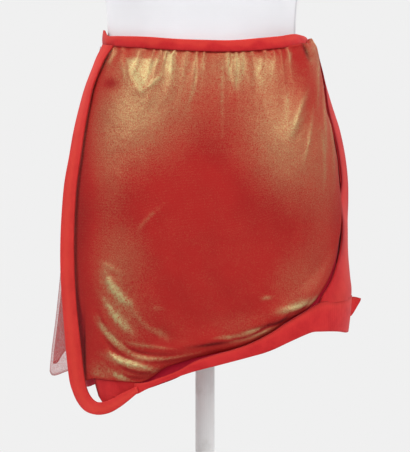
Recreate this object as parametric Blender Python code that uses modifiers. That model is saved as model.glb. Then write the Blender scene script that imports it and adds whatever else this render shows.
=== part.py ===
"""Mini skirt worn by a limbless dress form on a pole stand.

+X is to the right as the skirt is seen from the front, the front faces -Y and +Z is up.
The origin is on the floor, on the pole's axis. Sizes are in millimetres and are turned
into metres where points are made. A place on the cloth is given by three values: the turn
round the pole from the centre front in degrees, the distance down from the waist, and the
distance out from the skirt's smooth surface.
"""
import bmesh
import bpy
import numpy as np
from mathutils import Matrix

MM = 0.001

WAIST_HEIGHT = 1040.0      # waist line above the floor
SECTION_POWER = 2.25       # a level section is a superellipse of this power
PANEL_WALL = 1.5           # coated mesh with the jersey behind it
BAND_WALL = 2.2            # folded jersey band or tape
MESH_WALL = 1.0            # one layer of coated mesh
SEAM_GAP = 0.4             # between the edges of two pieces sewn together

# How far the skirt reaches from the pole's axis at each level.
SKIRT_SECTIONS = [
    # down, left, right, front, back
    (-30, 124.0, 128.0, 88, 88),
    (0, 125.5, 131.0, 88, 88),
    (12, 127.0, 138.5, 90, 91),
    (30, 132.0, 142.0, 96, 98),
    (60, 143.0, 148.0, 103, 108),
    (90, 150.0, 153.0, 108, 117),
    (120, 156.0, 161.0, 111, 124),
    (150, 160.0, 167.0, 112, 129),
    (180, 164.0, 170.0, 112, 131),
    (210, 166.0, 172.0, 111, 131),
    (240, 167.0, 172.0, 110, 129),
    (270, 167.0, 172.0, 109, 127),
    (300, 166.0, 173.0, 108, 125),
    (330, 164.0, 174.0, 107, 123),
    (360, 161.0, 175.0, 106, 121),
    (390, 158.0, 176.0, 105, 120),
    (430, 155.0, 176.0, 104, 119),
    (490, 150.0, 176.0, 102, 118),
]

# The waistband's edges, and how far its outer face stands from the skirt's surface.
WAISTBAND_EDGES = [
    # turn, top, bottom, out
    (-180, 1.0, 14.0, 2.0),
    (-120, 0.0, 13.0, 2.0),
    (-92, -2.5, 11.5, 2.0),
    (-84, -6.0, 10.5, 2.0),
    (-76, -2.6, 10.5, 2.2),
    (-63, -1.7, 11.4, 2.2),
    (-47, -1.3, 13.0, 2.2),
    (-21, 1.6, 15.6, 2.2),
    (-2, 2.6, 16.8, 2.2),
    (20, 2.9, 16.8, 2.2),
    (38, 0.5, 15.0, 2.0),
    (53, -1.8, 12.2, 0.6),
    (66, -4.1, 9.4, -3.6),
    (76, -2.0, 10.0, -5.2),
    (90, 1.0, 13.0, -5.2),
    (108, 1.5, 13.6, -4.8),
    (120, 1.5, 13.8, -2.0),
    (144, 1.5, 14.0, 2.0),
    (180, 1.0, 14.0, 2.0),
]

# Top edge of the panels: just below the waistband, and outside it at the right,
# where the cloth stands loose.
PANEL_TOPS = [
    # turn, down
    (-180, 14.8),
    (-120, 13.8),
    (-92, 12.1),
    (-76, 11.1),
    (-63, 12.0),
    (-47, 13.6),
    (-21, 16.2),
    (-2, 17.4),
    (20, 17.4),
    (38, 16.2),
    (53, 14.2),
    (66, 11.2),
    (76, 4.0),
    (90, 2.0),
    (98, 4.5),
    (108, 14.4),
    (120, 14.8),
    (180, 14.8),
]

FRONT_HEM = [
    # turn, down
    (-92, 430.0),
    (-78, 426.9),
    (-71, 421.9),
    (-56, 421.5),
    (-42, 420.9),
    (-33, 414.0),
    (-24, 406.6),
    (-12, 394.0),
    (2, 385.4),
    (16, 378.0),
    (26, 370.7),
    (33, 363.6),
    (39, 356.6),
    (44, 349.0),
    (49, 342.2),
    (54, 335.6),
    (58, 330.2),
    (63, 317.8),
    (69, 300.0),
    (75, 274.5),
    (79, 252.0),
    (82, 232.0),
    (86, 212.0),
    (92, 196.0),
]

FRONT_HEM_BAND = [
    # turn, top, bottom, top out, bottom out
    (-45.6, 422.0, 436.0, 0.6, 0.4),
    (-42.0, 421.4, 431.0, 0.8, 0.6),
    (-33.0, 414.5, 422.0, 1.2, 1.0),
    (-24.0, 407.1, 414.6, 1.6, 1.2),
    (-12.0, 394.5, 406.6, 2.0, 1.2),
    (2.0, 385.9, 400.0, 2.2, 1.0),
    (16.0, 378.5, 393.3, 2.4, 1.0),
    (26.0, 371.2, 388.2, 2.4, 1.0),
    (33.0, 364.1, 384.3, 2.4, 1.0),
    (39.0, 357.1, 379.4, 2.4, 1.2),
    (44.0, 349.5, 374.3, 2.4, 1.2),
    (49.0, 342.7, 369.2, 2.4, 1.4),
    (54.0, 336.1, 364.4, 2.4, 1.6),
    (58.0, 330.7, 361.3, 2.4, 1.8),
    (63.0, 325.0, 361.4, 2.6, 2.0),
    (73.0, 325.2, 363.6, 4.0, 2.2),
    (82.0, 323.6, 367.4, 7.5, 2.6),
    (90.5, 323.0, 368.6, 10.5, 4.5),
]

BACK_HEM_BAND = [
    # turn, top, bottom, top out, bottom out
    (92.5, 328.0, 369.0, 3.0, 2.0),
    (110.0, 337.0, 370.0, 0.6, 0.6),
    (150.0, 362.0, 384.0, 0.6, 0.6),
    (180.0, 377.0, 397.0, 0.6, 0.6),
    (220.0, 394.0, 413.0, 0.6, 0.6),
    (262.0, 406.0, 425.0, 0.6, 0.6),
]

OVERLAY_HEM = [
    # turn, down
    (100, 338.0),
    (130, 353.0),
    (180, 380.0),
    (225, 406.0),
    (252, 425.0),
    (262, 427.0),
    (266, 420.0),
]

OVERLAY_RIGHT_EDGE = [
    # down, turn
    (0, 111.0),
    (45, 106.5),
    (75, 103.5),
    (110, 102.5),
    (440, 102.0),
]

# How far the overlay's loose left edge stands out.
OVERLAY_FLARE = [
    # down, out
    (0, 0.0),
    (120, 0.5),
    (200, 3.0),
    (260, 8.0),
    (304, 13.0),
    (330, 17.5),
    (360, 24.0),
    (390, 31.0),
    (430, 38.0),
]

OVERLAY_LAYER_HEM = [
    # turn, down
    (226, 392.0),
    (244, 396.0),
    (256, 399.0),
    (260, 411.0),
    (265, 411.0),
]

CORNER_INSERT = [
    # turn, top, bottom
    (-69.0, 410.0, 443.0),
    (-66.6, 410.0, 452.0),
    (-61.0, 410.0, 450.0),
    (-57.0, 410.0, 446.0),
    (-52.5, 410.0, 439.0),
    (-48.5, 409.0, 432.5),
    (-46.0, 408.0, 430.0),
]

# Both edges of a tape, read from its top end to its lower end.
LEFT_TAPE = [
    # station, left turn, left down, left out, right turn, right down, right out
    (0, -77.0, 12.5, 6.5, -67.0, 12.5, 4.2),
    (1, -80.0, 28.0, 7.5, -71.5, 28.0, 4.8),
    (2, -81.0, 58.0, 7.6, -73.0, 58.0, 5.0),
    (3, -80.2, 90.0, 9.8, -72.6, 90.0, 5.0),
    (4, -79.2, 131.0, 12.2, -72.8, 131.0, 5.0),
    (5, -79.4, 177.0, 14.8, -73.9, 176.0, 5.0),
    (6, -79.9, 225.0, 16.2, -74.8, 225.0, 5.0),
    (7, -80.0, 280.0, 17.6, -75.3, 280.0, 5.0),
    (8, -80.6, 340.0, 18.0, -75.7, 340.0, 5.0),
    (9, -79.8, 387.0, 20.0, -75.4, 385.0, 5.0),
    (10, -79.6, 423.0, 19.0, -74.8, 418.0, 5.0),
    (11, -78.6, 439.0, 17.0, -73.4, 434.0, 5.0),
    (12, -77.3, 452.0, 13.5, -71.3, 443.0, 5.0),
    (13, -73.5, 462.0, 10.0, -68.2, 448.5, 5.0),
    (14, -66.8, 465.0, 8.0, -64.6, 449.0, 5.0),
    (15, -61.0, 462.0, 6.0, -60.7, 446.0, 4.5),
    (16, -56.0, 455.0, 4.4, -56.9, 441.0, 4.0),
    (17, -51.2, 446.0, 3.6, -52.6, 434.5, 3.5),
    (18, -46.6, 437.0, 3.2, -48.3, 429.0, 3.2),
]
RIGHT_TAPE = [
    # station, left turn, left down, left out, right turn, right down, right out
    (0, 98.0, 16.5, 4.0, 106.0, 16.5, 4.5),
    (1, 96.0, 45.0, 3.6, 102.5, 45.0, 4.0),
    (2, 94.5, 75.0, 3.2, 100.5, 75.0, 4.6),
    (3, 94.0, 105.0, 3.0, 99.0, 105.0, 6.2),
    (4, 93.5, 150.0, 3.0, 98.0, 150.0, 7.8),
    (5, 93.2, 180.0, 3.0, 98.0, 180.0, 9.5),
    (6, 91.5, 204.0, 3.0, 98.0, 204.0, 9.4),
    (7, 87.5, 215.0, 2.8, 97.8, 222.0, 9.2),
    (8, 82.6, 234.0, 2.6, 97.4, 240.0, 8.8),
    (9, 79.6, 253.0, 2.4, 97.0, 258.0, 8.6),
    (10, 75.6, 275.0, 2.4, 96.0, 278.0, 8.8),
    (11, 69.6, 300.5, 2.4, 94.0, 300.0, 9.6),
    (12, 64.4, 316.0, 2.4, 92.2, 314.0, 10.4),
    (13, 63.2, 324.2, 2.4, 91.0, 322.2, 10.8),
]

HEM_TAB = [
    # turn, top, bottom, top out, bottom out
    (91.4, 325.0, 350.0, 12.0, 10.0),
    (92.2, 326.0, 344.0, 17.0, 13.0),
    (92.8, 327.5, 333.0, 22.0, 20.0),
]

# Long folds of the front, each a curve through three places in the front view.
FRONT_FOLDS = [
    # x, down, x, down, x, down, height, half width
    (-124, 290, -110, 318, -86, 333, 2.2, 8.0),
    (-125, 325, -107, 355, -75, 371, 2.4, 8.5),
    (-126, 348, -101, 398, -6, 384, 3.0, 9.5),
    (-73, 372, -37, 380, 12, 367, 1.6, 7.0),
    (-114, 384, -94, 404, -57, 405, 2.4, 7.0),
    (-67, 352, -53, 363, -35, 367, -1.6, 7.0),
    (86, 337, 114, 333, 138, 311, 2.6, 8.5),
    (8, 368, 51, 366, 84, 345, 2.2, 8.5),
    (-12, 379, 49, 383, 108, 341, -2.0, 7.0),
    (-94, 20, -89, 49, -70, 72, 1.8, 9.0),
    (-49, 16, -50, 42, -53, 66, -1.8, 7.0),
    (-10, 20, -17, 57, -27, 84, 1.6, 8.0),
    (21, 17, 21, 87, 19, 166, -1.2, 7.0),
    (99, 40, 100, 76, 97, 118, -1.8, 9.0),
    (128, 35, 117, 81, 98, 122, 1.8, 9.0),
    (-82, 250, -69, 224, -46, 203, 1.4, 8.0),
]

BACK_FOLDS = [
    # x, down, x, down, x, down, height, half width
    (-110, 20, -106, 70, -98, 150, 1.8, 10.0),
    (-60, 20, -66, 60, -74, 110, -1.4, 9.0),
    (-18, 20, -14, 70, -20, 140, 1.4, 9.0),
    (62, 20, 66, 60, 60, 120, 1.5, 9.0),
    (104, 20, 110, 70, 112, 150, -1.6, 10.0),
    (-40, 380, 40, 360, 120, 320, 1.8, 10.0),
]

# Colours as sRGB bytes.
TAPE_RED = (214, 52, 50)
JERSEY_RED = (176, 42, 38)
FOIL_RED = (165, 70, 45)
FORM_WHITE = (232, 232, 236)
POLE_GREY = (205, 206, 210)

FRONT_EDGE = 91.0          # turn at which the front ends, each way
SIDE_SEAM = 91.2           # turn at which the back begins, each way
WAISTBAND_ROUND = 0.6      # how far the waistband's middle stands out from its edges
INSERT_OUT = -2.2          # the insert's outer face, behind the front

# The mesh over the back, and the shorter second layer inside its loose left edge.
OVERLAY_LEFT_EDGE = 266.0
OVERLAY_TOP = 14.0
OVERLAY_BOTTOM = 400.0
OVERLAY_OUT = 4.0
OVERLAY_FLARE_TURN = 26.0
LAYER_RIGHT_EDGE = 226.0
LAYER_LEFT_EDGE = 265.0
LAYER_TOP = 235.0
LAYER_GAP = 1.6

# How the rows of a panel's grid are shared out up its height, at distances from its hem
# and from its top edge.
HEM_SHARE = 0.25
HEM_STRIP = 26.0
LOWER_SHARE = 0.6
LOWER_STRIP = 140.0
UPPER_SHARE = 0.82         # where a panel's upper, more finely divided part begins
UPPER_STRIP = 45.0
BACK_ROWS = [
    # share of the way up, distance below the top edge
    (0.7, 60.0),
    (0.9, 14.0),
    (1.0, 0.0),
]

FRONT_GATHERS = 24         # waves across the front, below the waistband
BACK_GATHERS = 16
GATHER_HEIGHT = 1.3        # of a wave, each way from the surface
GATHER_LENGTH = 17.0       # distance below the waistband in which most of a wave dies out
GATHER_CHANGES = [
    # change in length, its waves over the width in radians, its start
    (6.0, 31, 1),
    (5.0, 67, 0),
]
CREASE_END = (80, 88)      # turns between which the creases fade out, each way

# The rolled edge of the front, which bulges over its hem and is tucked in at it.
HEM_BULGE = 4.2
BULGE_RISE = 19.0
BULGE_REACH = 13.0
HEM_TUCK = 5.0
TUCK_REACH = 14.0
ROLL_START = (-48, -26)    # turns between which the roll begins
ROLL_END = (60, 78)        # turns between which it falls off
ROLL_LOSS = 0.7            # the share of it that is lost there

# The dress form: reach from its own axis, which is a little left of the pole's.
FORM_SECTIONS = [
    # height over the waist, half width, front, back
    (-322, 155.5, 100, 117),
    (-270, 158.0, 102, 120),
    (-210, 157.0, 104, 124),
    (-150, 151.0, 104, 121),
    (-90, 140.5, 101, 110),
    (-60, 133.5, 96, 101),
    (-30, 121.5, 88, 90),
    (-12, 117.4, 84, 84),
    (0, 117.0, 82, 82),
    (50, 120.0, 84, 84),
    (100, 128.0, 91, 92),
    (150, 138.0, 107, 98),
    (190, 145.0, 118, 101),
    (230, 150.0, 112, 104),
    (270, 158.0, 97, 104),
    (310, 163.0, 83, 98),
    (340, 152.0, 72, 88),
    (362, 118.0, 62, 74),
    (382, 78.0, 54, 61),
    (405, 58.0, 51, 54),
    (450, 50.0, 50, 50),
]
FORM_CENTRE_X = -4.0
FORM_COLUMNS = 28
FORM_RINGS = 20

NECK_CAP_RADIUS = 50.0
NECK_CAP_HEIGHT = 22.0
NECK_CAP_SIDE = 4.0        # the cap's upright edge, below its dome
DOME_STEPS = 5
POLE_RADIUS = 12.0
FLANGE_RADIUS = 42.0
FLANGE_HEIGHT = 12.0
FLANGE_EDGE = 4.0
FLANGE_FOOT = 20.0
BASE_RADIUS = 170.0
BASE_HEIGHT = 8.0
BASE_CHAMFER = 3.0
BOSS_RADIUS = 24.0
BOSS_TOP = 34.0
BOSS_CHAMFER = 2.0
BOSS_FILLET = 4.0
SOCKET_FLOOR = 5.0
PIECE_GAP = 0.3
TURNED_STEPS = 28


def read_rows(rows, place):
    """All columns but the first, read at the given places along a smooth curve."""
    table = np.array(rows, dtype=float)
    knots = table[:, 0]
    values = table[:, 1:]
    slopes = np.gradient(values, knots, axis=0)
    place = np.clip(place, knots[0], knots[-1])
    upper = np.clip(np.searchsorted(knots, place), 1, len(knots) - 1)
    lower = upper - 1
    span = (knots[upper] - knots[lower])[..., None]
    part = (place - knots[lower])[..., None] / span
    keep = 1 - part
    from_lower = keep**2 * (1 + 2 * part) * values[lower] + keep**2 * part * span * slopes[lower]
    from_upper = part**2 * (3 - 2 * part) * values[upper] - part**2 * keep * span * slopes[upper]
    return from_lower + from_upper


def read_line(rows, place):
    """The one value of a table with two columns."""
    return read_rows(rows, place)[..., 0]


def ease(value, start, end):
    part = np.clip((value - start) / (end - start), 0, 1)
    return part * part * (3 - 2 * part)


def level_point(turn, left, right, front, back):
    """Place and outward direction on a level section, seen from above."""
    half = (left + right) / 2
    side = np.sin(np.radians(turn))
    ahead = np.cos(np.radians(turn))
    depth = np.where(ahead > 0, front, back)
    power = SECTION_POWER
    radius = (np.abs(side / half)**power + np.abs(ahead / depth)**power)**(-1 / power)
    out_x = np.sign(side) * (radius * np.abs(side) / half)**(power - 1) / half
    out_y = -np.sign(ahead) * (radius * np.abs(ahead) / depth)**(power - 1) / depth
    length = np.hypot(out_x, out_y)
    x = (right - left) / 2 + radius * side
    y = -radius * ahead
    return x, y, out_x / length, out_y / length


def cloth_point(turn, down, out):
    x, y, out_x, out_y = level_point(turn, *read_rows(SKIRT_SECTIONS, down).T)
    return np.stack([x + out * out_x, y + out * out_y, WAIST_HEIGHT - down], axis=-1)


def fold_relief(folds, x, down):
    """Height of the long folds at places in the front view."""
    relief = np.zeros_like(x)
    steps = np.linspace(0, 1, 25)[:, None]
    for x0, down0, x1, down1, x2, down2, height, half_width in folds:
        ends = np.array([[x0, down0], [x1, down1], [x2, down2]], dtype=float)
        # a curve that passes through the middle place at its half
        handle = 2 * ends[1] - (ends[0] + ends[2]) / 2
        curve = (1 - steps)**2 * ends[0] + 2 * steps * (1 - steps) * handle + steps**2 * ends[2]
        gaps = np.hypot(x[:, None] - curve[:, 0], down[:, None] - curve[:, 1])
        fade = np.sin(np.pi * np.clip(steps[gaps.argmin(axis=1), 0], 0.08, 0.92))**0.5
        relief += height * fade * np.exp(-(gaps.min(axis=1) / half_width)**2)
    return relief


def signed(turn):
    """The same turn between -180 and 180 degrees."""
    return (turn + 180) % 360 - 180


def back_band_top(turn):
    return read_rows(BACK_HEM_BAND, turn)[..., 0]


def gather_relief(across, waves, below_band):
    """Gathers below the waistband, uneven in length."""
    length = GATHER_LENGTH + sum(change * np.sin(rate * across + start)
                                 for change, rate, start in GATHER_CHANGES)
    return GATHER_HEIGHT * np.cos(2 * np.pi * waves * across) * np.exp(-below_band / length)


def spread(up, stops):
    """A value that runs straight from each (up, value) stop to the next."""
    value = stops[0][1]
    for (start, low), (end, high) in zip(stops, stops[1:]):
        value = value + (high - low) * np.clip((up - start) / (end - start), 0, 1)
    return value


def place_front(across, up):
    turn = FRONT_EDGE * (2 * across - 1)
    top = read_line(PANEL_TOPS, turn)
    hem = read_line(FRONT_HEM, turn) - SEAM_GAP
    down = spread(up, [(0, hem), (HEM_SHARE, hem - HEM_STRIP), (LOWER_SHARE, hem - LOWER_STRIP),
                       (UPPER_SHARE, top + UPPER_STRIP), (1, top)])
    bulge = HEM_BULGE * np.exp(-((hem - down - BULGE_RISE) / BULGE_REACH)**2)
    tuck = HEM_TUCK * np.clip(1 - (hem - down) / TUCK_REACH, 0, 1)**2
    rolled = ease(turn, *ROLL_START) * (1 - ROLL_LOSS * ease(turn, *ROLL_END))
    creased = gather_relief(across, FRONT_GATHERS, down - top)
    creased += fold_relief(FRONT_FOLDS, cloth_point(turn, down, 0)[:, 0], down)
    creased *= 1 - ease(np.abs(turn), *CREASE_END)
    return cloth_point(turn, down, creased + rolled * (bulge - tuck))


def place_back(across, up):
    turn = SIDE_SEAM + (360 - 2 * SIDE_SEAM) * across
    top = read_line(PANEL_TOPS, signed(turn))
    hem = back_band_top(turn) - SEAM_GAP
    down = spread(up, [(0, hem)] + [(share, top + below) for share, below in BACK_ROWS])
    return cloth_point(turn, down, 0)


def overlay_out(turn, down):
    """The overlay's outer face: close to the back, and standing out at its loose left edge."""
    loose = np.exp(-((OVERLAY_LEFT_EDGE - turn) / OVERLAY_FLARE_TURN)**2)
    return OVERLAY_OUT + read_line(OVERLAY_FLARE, down) * loose


def place_overlay(across, up):
    right_edge = read_line(OVERLAY_RIGHT_EDGE, spread(up, [(0, OVERLAY_BOTTOM), (1, OVERLAY_TOP)]))
    turn = right_edge + (OVERLAY_LEFT_EDGE - right_edge) * across
    top = read_line(PANEL_TOPS, signed(turn))
    hem = read_line(OVERLAY_HEM, turn)
    down = spread(up, [(0, hem), (UPPER_SHARE, top + UPPER_STRIP), (1, top)])
    creased = gather_relief(across, BACK_GATHERS, down - top)
    creased += fold_relief(BACK_FOLDS, cloth_point(turn, down, 0)[:, 0], down)
    creased *= ease(across, 0, 0.04) * (1 - ease(across, 0.9, 0.97))
    return cloth_point(turn, down, creased + overlay_out(turn, down))


def place_overlay_layer(across, up):
    turn = LAYER_RIGHT_EDGE + (LAYER_LEFT_EDGE - LAYER_RIGHT_EDGE) * across
    down = spread(up, [(0, read_line(OVERLAY_LAYER_HEM, turn)), (1, LAYER_TOP)])
    return cloth_point(turn, down, overlay_out(turn, down) - MESH_WALL - LAYER_GAP)


def place_waistband(across, up):
    turn = 360 * across - 180
    top, bottom, out = read_rows(WAISTBAND_EDGES, turn).T
    down = spread(up, [(0, bottom), (1, top)])
    return cloth_point(turn, down, out + WAISTBAND_ROUND * np.sin(np.pi * up))


def place_insert(across, up):
    turn = CORNER_INSERT[0][0] + (CORNER_INSERT[-1][0] - CORNER_INSERT[0][0]) * across
    top, bottom = read_rows(CORNER_INSERT, turn).T
    return cloth_point(turn, spread(up, [(0, bottom), (1, top)]), INSERT_OUT)


def band_place(rows):
    """Lays a band between the two edges given for each turn."""
    table = np.array(rows)

    def place(across, up):
        turn = table[0, 0] + (table[-1, 0] - table[0, 0]) * across
        top, bottom, top_out, bottom_out = read_rows(rows, turn).T
        return cloth_point(turn, spread(up, [(0, bottom), (1, top)]),
                           spread(up, [(0, bottom_out), (1, top_out)]))
    return place


def tape_place(rows):
    """Lays a tape between the two edges given for each station down its length."""
    def place(across, up):
        edges = read_rows(rows, (1 - up) * rows[-1][0])
        left_edge = edges[:, :3]
        right_edge = edges[:, 3:]
        turn, down, out = (left_edge + (right_edge - left_edge) * across[:, None]).T
        return cloth_point(turn, down, out)
    return place


def form_point(turn, height):
    half, front, back = read_rows(FORM_SECTIONS, height).T
    x, y, _, _ = level_point(turn, half - FORM_CENTRE_X, half + FORM_CENTRE_X, front, back)
    return np.stack([x, y, WAIST_HEIGHT + height], axis=-1)


def add_object(name, mesh, color, roughness, metallic):
    """An object with its own material."""
    new_object = bpy.data.objects.new(name, mesh)
    material = bpy.data.materials.new(name)
    material.use_nodes = True
    shader = material.node_tree.nodes["Principled BSDF"]
    linear = [(part / 255)**2.2 for part in color]
    shader.inputs["Base Color"].default_value = (*linear, 1)
    shader.inputs["Roughness"].default_value = roughness
    shader.inputs["Metallic"].default_value = metallic
    mesh.materials.append(material)
    mesh.shade_smooth()
    collection.objects.link(new_object)
    return new_object


def add_grid(work, columns, rows, low, high):
    """Adds a flat grid, 0 to 1 across and low to high up."""
    place = Matrix.Translation((0.5, (low + high) / 2, 0)) @ Matrix.Diagonal((1, high - low, 1, 1))
    bmesh.ops.create_grid(work, x_segments=columns, y_segments=rows, size=0.5, matrix=place)


def add_cloth(name, place, columns, rows, wall, color, upper_rows=0, metallic=0.0, roughness=0.8):
    """A grid laid on the cloth's outer face, with its wall inward.

    With upper rows, the part above UPPER_SHARE has twice the columns.
    """
    work = bmesh.new()
    top = UPPER_SHARE if upper_rows else 1
    add_grid(work, columns, rows, 0, top)
    if upper_rows:
        seam = [edge for edge in work.edges if min(vert.co.y for vert in edge.verts) > top - 1e-4]
        bmesh.ops.subdivide_edges(work, edges=seam, cuts=1)
        add_grid(work, 2 * columns, upper_rows, top, 1)
        bmesh.ops.remove_doubles(work, verts=work.verts[:], dist=1e-4)
    flat = np.array([vert.co[:2] for vert in work.verts])
    for vert, point in zip(work.verts, place(flat[:, 0], flat[:, 1])):
        vert.co = point * MM
    bmesh.ops.remove_doubles(work, verts=work.verts[:], dist=1e-6)
    mesh = bpy.data.meshes.new(name)
    work.to_mesh(mesh)
    work.free()
    cloth = add_object(name, mesh, color, roughness, metallic)
    solidify = cloth.modifiers.new("wall", "SOLIDIFY")
    solidify.thickness = wall * MM
    solidify.offset = -1
    return cloth


def add_turned(name, profile, base_height, closed, color, roughness, metallic):
    """A profile of (radius, height) places, top to bottom on its outer side, turned round the pole."""
    work = bmesh.new()
    verts = [work.verts.new((radius * MM, 0, (base_height + height) * MM)) for radius, height in profile]
    for upper, lower in zip(verts, verts[1:]):
        work.edges.new((upper, lower))
    if closed:
        work.edges.new((verts[-1], verts[0]))
    mesh = bpy.data.meshes.new(name)
    work.to_mesh(mesh)
    work.free()
    turned = add_object(name, mesh, color, roughness, metallic)
    screw = turned.modifiers.new("turn", "SCREW")
    screw.steps = TURNED_STEPS
    screw.render_steps = TURNED_STEPS
    screw.use_merge_vertices = True
    screw.merge_threshold = 1e-6
    screw.use_smooth_shade = True
    return turned


def add_torso():
    work = bmesh.new()
    bmesh.ops.create_cone(work, cap_ends=True, segments=FORM_COLUMNS, radius1=1, radius2=1, depth=1)
    uprights = [edge for edge in work.edges if abs(edge.verts[0].co.z - edge.verts[1].co.z) > 0.5]
    bmesh.ops.subdivide_edges(work, edges=uprights, cuts=FORM_RINGS - 1)
    sections = np.array(FORM_SECTIONS, dtype=float)
    path = np.hypot(np.diff(sections[:, 0]), np.diff(sections[:, 1])).cumsum()
    path = np.append(0, path)
    flat = np.array([vert.co[:] for vert in work.verts])
    turn = np.degrees(np.arctan2(flat[:, 0], -flat[:, 1]))
    height = np.interp((flat[:, 2] + 0.5) * path[-1], path, sections[:, 0])
    for vert, point in zip(work.verts, form_point(turn, height)):
        vert.co = point * MM
    mesh = bpy.data.meshes.new("form_torso")
    work.to_mesh(mesh)
    work.free()
    add_object("form_torso", mesh, FORM_WHITE, 0.85, 0.0)


def add_stand():
    torso_bottom = WAIST_HEIGHT + FORM_SECTIONS[0][0]
    torso_top = WAIST_HEIGHT + FORM_SECTIONS[-1][0]
    dome_height = NECK_CAP_HEIGHT - NECK_CAP_SIDE
    dome = [(NECK_CAP_RADIUS * np.sin(angle), NECK_CAP_SIDE + dome_height * np.cos(angle))
            for angle in np.linspace(0, np.pi / 2, DOME_STEPS)]
    add_turned("neck_cap", dome + [(NECK_CAP_RADIUS, 0), (0, 0)], torso_top + PIECE_GAP, False,
               FORM_WHITE, 0.6, 0.0)
    pole_bottom = SOCKET_FLOOR + PIECE_GAP
    pole_length = torso_bottom - PIECE_GAP - pole_bottom
    pole = [(0, pole_length), (POLE_RADIUS, pole_length), (POLE_RADIUS, 0), (0, 0)]
    add_turned("form_pole", pole, pole_bottom, False, POLE_GREY, 0.35, 0.4)
    bore = POLE_RADIUS + PIECE_GAP
    flange = [(bore, FLANGE_HEIGHT), (FLANGE_RADIUS, FLANGE_HEIGHT),
              (FLANGE_RADIUS, FLANGE_HEIGHT - FLANGE_EDGE), (FLANGE_FOOT, 0), (bore, 0)]
    add_turned("pole_flange", flange, torso_bottom - PIECE_GAP - FLANGE_HEIGHT, True, POLE_GREY, 0.4, 0.4)
    base = [(0, SOCKET_FLOOR), (bore, SOCKET_FLOOR), (bore, BOSS_TOP),
            (BOSS_RADIUS - BOSS_CHAMFER, BOSS_TOP), (BOSS_RADIUS, BOSS_TOP - BOSS_CHAMFER),
            (BOSS_RADIUS, BASE_HEIGHT + BOSS_FILLET), (BOSS_RADIUS + BOSS_FILLET, BASE_HEIGHT),
            (BASE_RADIUS - BASE_CHAMFER, BASE_HEIGHT), (BASE_RADIUS, BASE_HEIGHT - BASE_CHAMFER),
            (BASE_RADIUS, 0), (0, 0)]
    add_turned("base_plate", base, 0, False, POLE_GREY, 0.4, 0.4)


def add_skirt():
    add_cloth("waistband", place_waistband, 60, 2, BAND_WALL, TAPE_RED)
    add_cloth("front_panel", place_front, 2 * FRONT_GATHERS, 20, PANEL_WALL, FOIL_RED, 4,
              metallic=0.3, roughness=0.5)
    add_cloth("back_panel", place_back, 32, 8, PANEL_WALL, JERSEY_RED)
    add_cloth("back_overlay", place_overlay, 2 * BACK_GATHERS, 9, MESH_WALL, FOIL_RED, 4,
              metallic=0.3, roughness=0.5)
    add_cloth("overlay_layer", place_overlay_layer, 10, 8, MESH_WALL, FOIL_RED,
              metallic=0.3, roughness=0.5)
    add_cloth("side_tape_left", tape_place(LEFT_TAPE), 2, 40, BAND_WALL, TAPE_RED)
    add_cloth("side_tape_right", tape_place(RIGHT_TAPE), 4, 26, BAND_WALL, TAPE_RED)
    add_cloth("hem_band_front", band_place(FRONT_HEM_BAND), 36, 2, BAND_WALL, TAPE_RED)
    add_cloth("hem_band_back", band_place(BACK_HEM_BAND), 24, 2, BAND_WALL, TAPE_RED)
    add_cloth("corner_insert", place_insert, 8, 4, PANEL_WALL, JERSEY_RED)
    add_cloth("hem_tab", band_place(HEM_TAB), 3, 2, BAND_WALL, TAPE_RED)


for old_object in list(bpy.data.objects):
    bpy.data.objects.remove(old_object, do_unlink=True)
collection = bpy.data.collections.new("mini_skirt_on_dress_form")
bpy.context.scene.collection.children.link(collection)
add_skirt()
add_torso()
add_stand()
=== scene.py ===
import math

import bmesh
import bpy
import numpy as np
from mathutils import Matrix, Vector


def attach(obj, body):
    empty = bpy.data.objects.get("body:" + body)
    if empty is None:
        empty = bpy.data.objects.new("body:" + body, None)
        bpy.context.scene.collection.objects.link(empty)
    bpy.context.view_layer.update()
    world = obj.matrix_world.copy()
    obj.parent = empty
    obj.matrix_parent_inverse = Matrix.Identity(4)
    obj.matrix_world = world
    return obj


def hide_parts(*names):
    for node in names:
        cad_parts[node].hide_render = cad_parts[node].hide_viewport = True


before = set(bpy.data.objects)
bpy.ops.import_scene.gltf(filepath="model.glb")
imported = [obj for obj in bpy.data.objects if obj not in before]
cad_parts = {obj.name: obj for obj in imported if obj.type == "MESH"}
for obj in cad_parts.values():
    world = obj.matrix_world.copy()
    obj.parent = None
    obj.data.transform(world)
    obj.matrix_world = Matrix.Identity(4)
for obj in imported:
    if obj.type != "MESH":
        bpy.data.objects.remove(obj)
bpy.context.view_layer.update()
print("frame loaded:", len(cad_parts), "nodes")

millimetre = 0.001

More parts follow.
